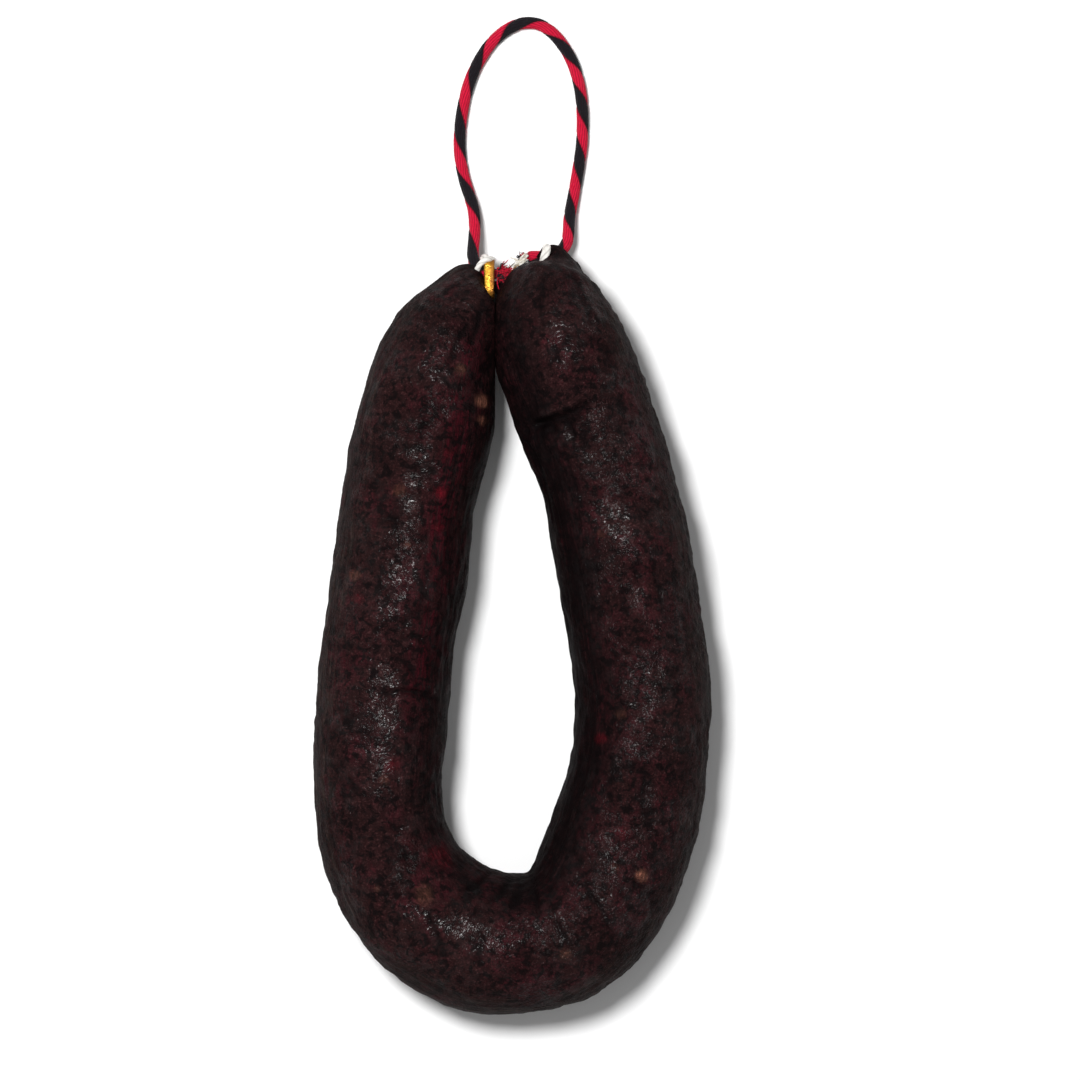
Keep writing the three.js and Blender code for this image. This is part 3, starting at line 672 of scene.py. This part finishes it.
def band(tree, value, low, high, out_low=0.0, out_high=1.0):
    """Maps low and high to two numbers, held at both ends."""
    inputs = {"Value": value, "From Min": low, "From Max": high, "To Min": out_low, "To Max": out_high}
    return node(tree, "ShaderNodeMapRange", inputs, interpolation_type="SMOOTHSTEP").outputs[0]


def grain(tree, vector, scale, detail=3.0, roughness=0.55, distortion=0.0):
    """A noise pattern's strength."""
    inputs = {
        "Vector": vector, "Scale": scale, "Detail": detail, "Roughness": roughness, "Distortion": distortion
    }
    return node(tree, "ShaderNodeTexNoise", inputs).outputs["Fac"]


def stretched(tree, vector, scale):
    """The coordinates scaled differently each way."""
    return node(tree, "ShaderNodeMapping", {"Vector": vector, "Scale": scale}).outputs[0]


def bumped(tree, height, distance, strength=1.0):
    """A bump from a height pattern."""
    inputs = {"Strength": strength, "Distance": distance, "Height": height}
    return node(tree, "ShaderNodeBump", inputs).outputs[0]


def mask(tree, key):
    """A number that the mesh carries at each point."""
    return node(tree, "ShaderNodeAttribute", attribute_name=key).outputs["Fac"]


def wavering(tree, here):
    """The coordinates shifted by a small wandering amount, so that cells come out uneven."""
    inputs = {"Vector": here, "Scale": 700.0, "Detail": 2.0}
    wander = node(tree, "ShaderNodeTexNoise", inputs).outputs["Color"]
    middle = {0: wander, 1: (0.5, 0.5, 0.5)}
    centred = node(tree, "ShaderNodeVectorMath", middle, operation="SUBTRACT").outputs[0]
    shift = node(tree, "ShaderNodeVectorMath", {0: centred, 3: 0.0016}, operation="SCALE").outputs[0]
    return node(tree, "ShaderNodeVectorMath", {0: here, 1: shift}, operation="ADD").outputs[0]


def new_material(name):
    """An empty node material, its tree and its shader, and the coordinates on the piece."""
    material = bpy.data.materials.new(name)
    material.use_nodes = True
    tree = material.node_tree
    here = node(tree, "ShaderNodeTexCoord").outputs["Object"]
    return material, tree, tree.nodes["Principled BSDF"], here


def dress(tree, shader, skin, **constants):
    """Links the base colour and sets the shader's constants, with spaces for underscores in their names."""
    tree.links.new(skin, shader.inputs["Base Color"])
    for key, value in constants.items():
        shader.inputs[key.replace("_", " ")].default_value = value


def casing_material(settings):
    """Dried casing: brown with burgundy and black places, paler specks and flecks of fat, one of them a
    painted highlight in the fat's colour, fine pebbles with painted shade in their seams and along ridge
    lines and lengthwise fibre lines, lengthwise fibres and cross crinkles, painted shade in the folds and
    hollows, darker inner sides, paler streaks on the outer flanks, and a coat of grease that lies in swells
    and shines in places."""
    material, tree, shader, here = new_material("Dried casing")
    around = node(tree, "ShaderNodeUVMap", uv_map="Around").outputs[0]
    burgundy, fat, raw, red_band = (mask(tree, key) for key in ("burgundy", "fat", "raw", "red_band"))
    inner, outer, left = (mask(tree, key) for key in ("inner_side", "outer_side", "left_leg"))
    pebbled, gathered, creased = (mask(tree, key) for key in ("pebbled", "gathered", "creased"))
    hollow, flank, greasy = (mask(tree, key) for key in ("hollow", "flank", "greasy"))
    black = colour(settings.black)

    cloudy = grain(tree, here, 90.0, 5.0, 0.6)
    mottled = grain(tree, here, 420.0, 4.0, 0.65, 0.4)
    speckled = grain(tree, here, 1500.0, 3.0, 0.65)
    streaks = grain(tree, stretched(tree, around, (260.0, 700.0, 1.0)), 1.0, 4.0, 0.65, 1.0)
    fibres = grain(tree, stretched(tree, around, (70.0, 900.0, 1.0)), 1.0, 4.0, 0.6, 0.8)
    crinkles = grain(tree, stretched(tree, around, (900.0, 260.0, 1.0)), 1.0, 3.0, 0.55, 1.6)
    cells = {"Vector": wavering(tree, here), "Scale": 780.0}
    edges = node(tree, "ShaderNodeTexVoronoi", cells, feature="DISTANCE_TO_EDGE").outputs["Distance"]
    domes = band(tree, edges, 0.0, 0.42)
    seams = band(tree, edges, 0.0, 0.10, 1.0, 0.0)
    ridges = lines_in(tree, grain(tree, here, 430.0, 4.0, 0.6, 1.2))
    long_lines = lines_in(tree, fibres)

    reds = times(tree, band(tree, cloudy, 0.46, 0.64), 0.75)
    reds = plus(tree, reds, times(tree, burgundy, 0.8), True)
    reds = times(tree, reds, band(tree, streaks, 0.38, 0.62, 0.25, 1.0))
    skin = blend(tree, reds, colour(settings.brown), colour(settings.burgundy))
    skin = blend(tree, band(tree, speckled, 0.52, 0.68, 0.0, 0.7), skin, colour(settings.specks))
    # Darker on the inner sides of the legs, less so on the left leg.
    darker = times(tree, inner, less(tree, 0.92, times(tree, left, 0.6)))
    darker = times(tree, darker, band(tree, fibres, 0.35, 0.65, 1.0, 0.6))
    skin = blend(tree, darker, skin, black)
    banded = times(tree, red_band, band(tree, fibres, 0.42, 0.56, 0.1, 1.0))
    skin = blend(tree, banded, skin, colour(settings.band))
    skin = blend(tree, band(tree, mottled, 0.40, 0.54, 0.9, 0.0), skin, black)
    # Paler in streaks on the outer flanks.
    pale_flank_streaks = times(tree, outer, band(tree, fibres, 0.45, 0.65, 0.0, 0.7))
    skin = blend(tree, pale_flank_streaks, skin, colour(settings.pale_flank))
    # Fat, and one painted highlight in the fat's colour.
    fat_and_highlight = times(tree, fat, band(tree, streaks, 0.35, 0.6, 0.35, 1.0))
    skin = blend(tree, fat_and_highlight, skin, colour(settings.fat))
    fleshy = times(tree, raw, band(tree, streaks, 0.35, 0.6, 0.4, 1.0))
    skin = blend(tree, fleshy, skin, colour(settings.raw))
    # Painted shade: black in the seams between the pebbles, along the ridge lines, and in the lengthwise
    # wrinkle lines on the sides.
    painted_line_shade = times(tree, seams, times(tree, pebbled, 0.75))
    painted_line_shade = larger(tree, painted_line_shade, times(tree, ridges, 0.55))
    sided = times(tree, larger(tree, inner, outer), 0.8)
    painted_line_shade = larger(tree, painted_line_shade, times(tree, long_lines, sided))
    skin = blend(tree, painted_line_shade, skin, black)
    # Painted shade in the folds and in the relief's hollows, and darker towards the gathered necks.
    painted_fold_shade = plus(tree, times(tree, creased, 0.9), times(tree, hollow, 0.6), True)
    painted_fold_shade = plus(tree, painted_fold_shade, times(tree, gathered, 0.5), True)
    skin = blend(tree, painted_fold_shade, skin, black)
    dress(
        tree, shader, skin, Specular_IOR_Level=0.05, Specular_Tint=(1.0, 0.80, 0.80, 1.0),
        Coat_Roughness=0.2, Coat_IOR=1.4,
    )

    wet = larger(tree, band(tree, grain(tree, here, 60.0, 4.0, 0.6), 0.45, 0.58, 0.8, 0.0), greasy)
    beads = band(tree, grain(tree, here, 300.0, 2.0), 0.42, 0.56, 0.2, 1.0)
    shine = times(tree, wet, beads)
    shine = times(tree, shine, less(tree, 1.0, larger(tree, flank, gathered), True))
    matt = less(tree, 0.62, times(tree, shine, 0.25))
    tree.links.new(plus(tree, matt, times(tree, painted_line_shade, 0.15), True), shader.inputs["Roughness"])
    tree.links.new(times(tree, shine, 0.32), shader.inputs["Coat Weight"])

    height = times(tree, domes, times(tree, pebbled, 0.8))
    height = less(tree, height, times(tree, ridges, 0.4))
    height = plus(tree, height, times(tree, fibres, plus(tree, times(tree, inner, 1.6), 0.3)))
    height = plus(tree, height, times(tree, crinkles, times(tree, less(tree, 1.0, inner), 0.9)))
    height = plus(tree, height, times(tree, speckled, 0.08))
    tree.links.new(bumped(tree, height, settings.grain), shader.inputs["Normal"])
    cockles = grain(tree, stretched(tree, around, (620.0, 340.0, 1.0)), 1.0, 1.0, 0.5, 1.4)
    swells = plus(tree, cockles, times(tree, domes, times(tree, pebbled, 0.35)))
    tree.links.new(bumped(tree, swells, settings.grease), shader.inputs["Coat Normal"])
    return material


def cord_material(settings):
    """Cotton yarns in a red and a black strand, with fine fibres along them and darker valleys between."""
    material, tree, shader, here = new_material("Two-colour cotton cord")
    red_share, valley = mask(tree, "red_strand"), mask(tree, "valley")
    fluff = grain(tree, here, 2600.0, 2.0)
    around = node(tree, "ShaderNodeUVMap", uv_map="Around").outputs[0]
    fibres = grain(tree, stretched(tree, around, (900.0, 6500.0, 1.0)), 1.0, 3.0, 0.6, 0.5)
    red = blend(tree, band(tree, fibres, 0.35, 0.7), colour(settings.red), colour(settings.bright_red))
    black = blend(tree, band(tree, fibres, 0.35, 0.75), colour(settings.black), colour(settings.worn_black))
    mixed = blend(tree, red_share, black, red)
    mixed = blend(tree, times(tree, valley, 0.8), mixed, colour(settings.valley))
    dress(
        tree, shader, mixed, Roughness=0.82, Specular_IOR_Level=0.12, Sheen_Weight=0.06, Sheen_Roughness=0.4
    )
    height = plus(tree, times(tree, fibres, 1.0), times(tree, fluff, 0.4))
    tree.links.new(bumped(tree, height, distance=0.00018), shader.inputs["Normal"])
    return material


def twine_material(settings):
    """Smooth white cotton twine, greyer in the valleys between its plies and here and there stained."""
    material, tree, shader, here = new_material("White twine")
    stains = grain(tree, here, 420.0, 3.0)
    fibres = grain(tree, here, 3200.0, 2.0)
    stained = band(tree, stains, 0.5, 0.75, 0.0, 0.55)
    skin = blend(tree, stained, colour(settings.twine), colour(settings.stain))
    skin = blend(tree, times(tree, mask(tree, "valley"), 0.6), skin, colour(settings.shaded))
    dress(tree, shader, skin, Roughness=0.62, Sheen_Weight=0.15)
    tree.links.new(bumped(tree, fibres, distance=0.00008, strength=0.5), shader.inputs["Normal"])
    return material


def brass_material(settings):
    """Gilt metal: bright on top, coppery and dull where it is tarnished in patches, with fine drawing lines
    and scuffs. The copper colour is also laid towards the clip's right side as painted shade, and it gets
    darker towards the clip's lower end."""
    material, tree, shader, here = new_material("Gilt clip")
    patches = grain(tree, here, 260.0, 4.0, 0.6)
    lines = grain(tree, stretched(tree, here, (500.0, 5200.0, 500.0)), 1.0, 2.0)
    scuffs = grain(tree, here, 900.0, 4.0, 0.6)
    place = node(tree, "ShaderNodeSeparateXYZ", {0: here}).outputs
    low = band(tree, place["Y"], *CLIP_LOW, 0.8, 0.0)
    right = band(tree, place["X"], *CLIP_RIGHT, 0.0, 0.75)
    tarnish_and_shade = plus(tree, larger(tree, low, right), band(tree, patches, 0.5, 0.7, 0.0, 0.45), True)
    dress(tree, shader, blend(tree, tarnish_and_shade, colour(settings.brass), colour(settings.copper)), Metallic=1.0)
    tree.links.new(band(tree, scuffs, 0.35, 0.65, 0.25, 0.6), shader.inputs["Roughness"])
    height = plus(tree, times(tree, lines, 0.5), times(tree, scuffs, 0.6))
    tree.links.new(bumped(tree, height, distance=0.0003), shader.inputs["Normal"])
    return material


def thread_material(name, rgb, second):
    """A loose yarn's fibres, in two shades of its colour."""
    material, tree, shader, here = new_material(name)
    fibres = grain(tree, here, 2400.0, 3.0)
    skin = blend(tree, band(tree, fibres, 0.35, 0.65), colour(rgb), colour(second))
    dress(tree, shader, skin, Roughness=0.8, Specular_IOR_Level=0.15, Sheen_Weight=0.05)
    tree.links.new(bumped(tree, fibres, distance=0.0001, strength=0.6), shader.inputs["Normal"])
    return material


def table_material(settings):
    """A plain matt table top with the faintest tooth."""
    material, tree, shader, here = new_material("Pale table")
    tooth = grain(tree, here, 900.0, 2.0)
    shaded = colour([0.985 * part for part in settings.table])
    dress(
        tree, shader, blend(tree, tooth, shaded, colour(settings.table)), Roughness=0.9,
        Specular_IOR_Level=0.1,
    )
    return material


def cord_surface(settings):
    """The cord is a circle carried along its route. A quarter turn either side of each strand's crown the
    circle falls in to the seam between the strands, and the seam turns along the cord, a little faster
    towards its right end. Fine waves round it, which turn a little the other way, are the yarns."""
    route = np.array(CORD_ROUTE) + (0, TIP * MM, 0)
    dense = spline(route, CORD_SAMPLES)
    line = respaced(dense, np.ones(len(dense)), CORD_RINGS)
    travelled = arc_length(line)
    ahead, side, over = frames(line)
    angle = 2 * math.pi * np.arange(CORD_SIDES) / CORD_SIDES - math.pi / 2
    tighter = (1 / settings.last_lay - 1 / settings.first_lay) / (2 * travelled[-1])
    turns = travelled / settings.first_lay + tighter * travelled**2 - FIRST_TURN
    turned = angle[None, :] - 2 * math.pi * turns[:, None] + math.pi / 2
    from_crown = np.abs(np.mod(turned + math.pi / 2, math.pi) - math.pi / 2)
    seam = np.exp(-(((math.pi / 2 - from_crown) / SEAM_WIDTH) ** 2))
    red = smooth_step(-0.06, 0.06, np.cos(turned))
    along = np.broadcast_to(travelled[:, None], turned.shape)
    wobble = noise(np.stack([along / 0.004, turned, 0 * turned], -1), 21)
    yarns = np.abs(np.sin(YARN_WAVES * angle[None, :] + (math.pi / YARN_LAY) * along + 0.7 * wobble))
    shape = 1 - SEAM_DEPTH * seam - YARN_DEPTH * (1 - yarns) ** 1.5 + 0.015 * wobble
    radius = CORD_DIAMETER / 2 * 1.03 * shape
    to_end = np.minimum(travelled, travelled[-1] - travelled)[:, None]
    taper = 1 - 0.35 * np.exp(-to_end / 0.0004)
    rings = (
        line[:, None]
        + (radius * taper * np.cos(angle))[..., None] * side[:, None]
        + (radius * taper * np.sin(angle))[..., None] * over[:, None]
    )
    rings[..., 2] = np.maximum(rings[..., 2], 0.0)
    valley = np.clip(0.75 * seam + 0.95 * (1 - yarns) ** 1.5, 0, 1)
    around = (angle[0] + 2 * math.pi * np.arange(CORD_SIDES + 1) / CORD_SIDES) * CORD_DIAMETER / 2
    return line, rings, {"red_strand": red, "valley": valley}, (travelled, around)


def twine_rings(line, radius, count, closed):
    """Three plies of twine carried along a line: the radius is that of the nearest of three round lobes,
    which turn steadily along it. A closed line runs on past its start, and only its middle is kept."""
    if closed:
        line = np.vstack([line[-3:], line, line[:3]])
        where = np.linspace(0, len(line) - 1, TWINE_SAMPLES)
        dense = spline(line, TWINE_SAMPLES)[(where >= 3) & (where <= len(line) - 3)]
    else:
        dense = spline(line, TWINE_SAMPLES)
    path = respaced(dense, np.ones(len(dense)), count + 1 if closed else count)
    travelled = arc_length(path)
    ahead = unit(np.gradient(path, axis=0))
    if closed:
        ahead[0] = ahead[-1] = unit(ahead[0] + ahead[-1])
        path, travelled, ahead = path[:-1], travelled[:-1], ahead[:-1]
    centre = path.mean(0)
    hint = unit(path - centre)
    side = unit(np.cross(ahead, np.cross(hint, ahead)))
    over = np.cross(ahead, side)
    length = travelled[-1] + np.linalg.norm(path[-1] - path[0]) if closed else travelled[-1]
    turns = max(1, round(length / (9 * radius)))
    angle = 2 * math.pi * np.arange(TWINE_SIDES) / TWINE_SIDES
    turned = 3 * (angle[None, :] - 2 * math.pi * turns * travelled[:, None] / length)
    lobes = np.abs(np.cos(turned / 2))
    shape = radius * (0.92 + 0.09 * lobes**0.7)
    rings = (
        path[:, None]
        + (shape * np.cos(angle))[..., None] * side[:, None]
        + (shape * np.sin(angle))[..., None] * over[:, None]
    )
    return rings, {"valley": (1 - lobes) ** 2}


def yarn_tubes(roots, directions, lengths, radius, curl, seed, steps=14, sides=7):
    """Loose yarns: each leaves its root in its direction, bends away by a smooth random curl that grows with
    the square of the way along it, and thins to a point. All yarns are worked out together in one array,
    yarns by rings by sides."""
    rng = np.random.default_rng(seed)
    count = len(roots)
    t = np.linspace(0, 1, steps)
    bend = rng.normal(size=(count, 3)) * curl
    wave = rng.normal(size=(count, 3)) * curl * 0.35
    phase = rng.uniform(0, 2 * math.pi, count)
    path = (
        roots[:, None]
        + directions[:, None] * (lengths[:, None] * t)[..., None]
        + bend[:, None] * (lengths[:, None] * t**2)[..., None]
        + wave[:, None] * (lengths[:, None] * np.sin(6 * t + phase[:, None]) * t)[..., None]
    )
    ahead = unit(np.gradient(path, axis=1))
    hint = np.array([0.31, 0.17, 0.93])
    side = unit(np.cross(ahead, hint))
    over = np.cross(side, ahead)
    angle = 2 * math.pi * np.arange(sides) / sides
    thick = radius * np.sqrt(np.clip(1.02 - t**3, 0.02, 1)) * (1 + 0.12 * np.sin(22 * t))
    return (
        path[:, :, None]
        + (thick[:, None] * np.cos(angle))[None, ..., None] * side[:, :, None]
        + (thick[:, None] * np.sin(angle))[None, ..., None] * over[:, :, None]
    )


def yarn_mesh(name, groups):
    """One mesh of many capped tubes. Each group is an array of yarns by rings by sides, with its material's
    number."""
    points, faces, slots = [], [], []
    base = 0
    for rings, slot in groups:
        yarns, steps, sides = rings.shape[:3]
        start = base + np.arange(yarns)[:, None, None] * steps * sides
        ring, side = np.meshgrid(np.arange(steps - 1), np.arange(sides), indexing="ij")
        beside = (side + 1) % sides
        near, far = ring * sides, (ring + 1) * sides
        quads = np.stack([near + side, far + side, far + beside, near + beside], -1)
        quads = (start[..., None] + quads[None]).reshape(-1, 4)
        ends = start[:, :, 0] + np.arange(sides)[None, :]
        faces += quads.tolist() + ends.tolist() + (ends[:, ::-1] + (steps - 1) * sides).tolist()
        slots += [slot] * (len(quads) + 2 * yarns)
        points.append(rings.reshape(-1, 3))
        base += yarns * steps * sides
    mesh = bpy.data.meshes.new(name)
    mesh.from_pydata(np.vstack(points).tolist(), [], faces)
    mesh.polygons.foreach_set("material_index", np.array(slots, np.int32))
    mesh.polygons.foreach_set("use_smooth", np.ones(len(slots), bool))
    mesh.update()
    return mesh


class SAUSAGE_OT_stage(bpy.types.Operator):
    """Lay the table and set up the soft studio light and the camera straight above"""

    bl_idname = "sausage.stage"
    bl_label = "Stage"

    def execute(self, context):
        settings = context.scene.sausage_stage
        scene = context.scene
        scene.view_settings.view_transform = "Standard"
        camera = bpy.data.objects.new("Camera", bpy.data.cameras.new("Camera"))
        scene.collection.objects.link(camera)
        camera.data.lens = LENS
        camera.data.sensor_width = SENSOR
        camera.data.dof.use_dof = False
        camera.data.clip_end = 20.0
        widest = (GIRTH - REST_FLAT) * MM
        camera.location = (*VIEW_MIDDLE, widest + VIEW_WIDTH * camera.data.lens / camera.data.sensor_width)
        scene.camera = camera

        corners = [(TABLE_HALF * x, TABLE_HALF * y, -TABLE_DROP) for x, y in TABLE_CORNERS]
        mesh = bpy.data.meshes.new("Table")
        mesh.from_pydata(corners, [], [(0, 1, 2, 3)])
        mesh.materials.append(table_material(settings))
        table = bpy.data.objects.new("Table", mesh)
        scene.collection.objects.link(table)

        world = bpy.data.worlds.new("Studio")
        world.use_nodes = True
        background = world.node_tree.nodes["Background"]
        background.inputs["Color"].default_value = (1.0, 1.0, 1.0, 1.0)
        background.inputs["Strength"].default_value = settings.sky
        scene.world = world
        self.lamp("Key", KEY_PLACE, KEY_SIZE, settings.key_power).visible_glossy = False
        self.lamp("Top", TOP_PLACE, TOP_SIZE, settings.top_power).visible_diffuse = False
        return {"FINISHED"}

    def lamp(self, name, place, width, power):
        """A round lamp that looks at the middle of the table."""
        light = bpy.data.lights.new(name, "AREA")
        light.shape, light.size, light.energy = "DISK", width, power
        made = bpy.data.objects.new(name, light)
        away = unit(np.array(place))
        made.rotation_euler = (0, math.acos(away[2]), math.atan2(away[1], away[0]))
        made.location = place
        bpy.context.scene.collection.objects.link(made)
        return made


class SAUSAGE_OT_cord(bpy.types.Operator):
    """Twist the red and black hanging cord along its route"""

    bl_idname = "sausage.cord"
    bl_label = "Hanging Cord"

    def execute(self, context):
        settings = context.scene.sausage_cord
        line, rings, masks, uv = cord_surface(settings)
        mesh = tube_mesh("twisted_cord", rings, masks, uv)
        piece = placed("twisted_cord", mesh, [cord_material(settings)], "hanging_cord")
        return {"FINISHED"}


class SAUSAGE_OT_casing(bpy.types.Operator):
    """Stuff the casing: lumps, wrinkles, folds and pleated necks"""

    bl_idname = "sausage.casing"
    bl_label = "Casing"

    def execute(self, context):
        settings = context.scene.sausage_casing
        points, masks, uv = casing_surface(settings)
        mesh = tube_mesh("stuffed_casing", points, masks, uv)
        placed("stuffed_casing", mesh, [casing_material(settings)], "sausage")
        return {"FINISHED"}


class SAUSAGE_OT_ties(bpy.types.Operator):
    """Wind the white twine round the two necks and the cord"""

    bl_idname = "sausage.ties"
    bl_label = "Ties"

    def execute(self, context):
        material = twine_material(context.scene.sausage_bindings)
        rings, masks = twine_rings(np.array(LEFT_TIE_LINE), LEFT_TWINE, LEFT_TWINE_RINGS, True)
        mesh = tube_mesh("left_twine", rings * MM, masks, closed=True)
        placed("left_twine", mesh, [material], "left_tie")
        low, high = (np.array(corner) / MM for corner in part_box("right_tie"))
        apart = np.array(RIGHT_TIE_NECK) - RIGHT_TIE_CORD
        through = np.array([math.cos(RIGHT_TIE_WAY), math.sin(RIGHT_TIE_WAY), 0.0])
        length = unit(apart - (apart @ through) * through)
        across = np.cross(length, through)
        t = np.linspace(-math.pi / 2, 3.5 * math.pi, 80)
        waist = 1 - RIGHT_TIE_WAIST * np.abs(np.cos(t)) ** 20
        wide = waist * np.sign(np.cos(t)) * np.abs(np.cos(t)) ** RIGHT_TIE_SQUARENESS
        long = np.sign(np.sin(t)) * np.abs(np.sin(t)) ** RIGHT_TIE_SQUARENESS
        shift = np.linspace(-RIGHT_TIE_SHIFT, RIGHT_TIE_SHIFT, len(t))
        place = (
            (low + high) / 2
            + RIGHT_TIE_HALF_WIDTH * wide[:, None] * across
            + RIGHT_TIE_HALF_LENGTH * long[:, None] * length
            + shift[:, None] * through
        )
        rings, masks = twine_rings(place, RIGHT_TWINE, RIGHT_TWINE_RINGS, False)
        mesh = tube_mesh("right_twine", rings * MM, masks)
        placed("right_twine", mesh, [material], "right_tie")
        return {"FINISHED"}


class SAUSAGE_OT_frays(bpy.types.Operator):
    """Fray the cord's two ends into loose yarns, with stray ends of the white twine"""

    bl_idname = "sausage.frays"
    bl_label = "Frayed Ends"

    def execute(self, context):
        settings = context.scene.sausage_cord
        bindings = context.scene.sausage_bindings
        materials = [
            thread_material("Red yarn", settings.red, settings.dark_red),
            thread_material("Black yarn", settings.black, settings.loose_black),
            thread_material("White thread", bindings.twine, bindings.thread),
            thread_material("Dried fibre", bindings.straw, bindings.dark_straw),
        ]
        self.tuft("left_tuft", "left_fray", materials, 31, LEFT_TUFT)
        self.tuft("right_tuft", "right_fray", materials, 37, RIGHT_TUFT)
        return {"FINISHED"}

    def tuft(self, name, cad_node, materials, seed, bunches):
        """Several bunches of yarns: each has its root, way, count, length, spread, radius and colour."""
        groups = []
        for number, (root, way, count, length, spread, radius, slot) in enumerate(bunches):
            rng = np.random.default_rng(seed + number)
            roots = np.array(root) + rng.normal(size=(count, 3)) * ROOT_SPREAD
            ways = unit(np.array(way) + rng.normal(size=(count, 3)) * spread)
            lengths = length * rng.uniform(0.75, 1.1, count)
            yarns = yarn_tubes(roots, ways, lengths, radius, YARN_CURL, seed + 50 + number)
            groups.append((yarns * MM, slot))
        placed(name, yarn_mesh(name, groups), materials, cad_node)


class SAUSAGE_OT_clip(bpy.types.Operator):
    """Gild the clip on the left neck"""

    bl_idname = "sausage.clip"
    bl_label = "Clip"

    def execute(self, context):
        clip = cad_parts["neck_clip"]
        material = brass_material(context.scene.sausage_bindings)
        for slot in clip.material_slots:
            slot.material = material
        return {"FINISHED"}


class SAUSAGE_PT_panel(bpy.types.Panel):
    """Sizes, colours and the steps that build the sausage"""

    bl_label = "Cured Sausage"
    bl_space_type = "VIEW_3D"
    bl_region_type = "UI"
    bl_category = "Sausage"

    def draw(self, context):
        layout = self.layout
        for group in SETTINGS:
            box = layout.box()
            for key in SETTINGS[group].__annotations__:
                box.prop(getattr(context.scene, group), key)
        for operator in OPERATORS:
            layout.operator(operator.bl_idname)


SETTINGS = {
    "sausage_casing": SausageCasingSettings,
    "sausage_cord": SausageCordSettings,
    "sausage_bindings": SausageBindingSettings,
    "sausage_stage": SausageStageSettings,
}
OPERATORS = (
    SAUSAGE_OT_stage,
    SAUSAGE_OT_cord,
    SAUSAGE_OT_casing,
    SAUSAGE_OT_ties,
    SAUSAGE_OT_frays,
    SAUSAGE_OT_clip,
)


def register():
    for made in (*SETTINGS.values(), *OPERATORS, SAUSAGE_PT_panel):
        bpy.utils.register_class(made)
    for key, group in SETTINGS.items():
        setattr(bpy.types.Scene, key, bpy.props.PointerProperty(type=group))


def unregister():
    for key in SETTINGS:
        delattr(bpy.types.Scene, key)
    for made in (SAUSAGE_PT_panel, *OPERATORS, *SETTINGS.values()):
        bpy.utils.unregister_class(made)


def main():
    register()
    bpy.ops.sausage.stage()
    bpy.ops.sausage.cord()
    bpy.ops.sausage.casing()
    bpy.ops.sausage.ties()
    bpy.ops.sausage.frays()
    bpy.ops.sausage.clip()


if __name__ == "__main__":
    main()
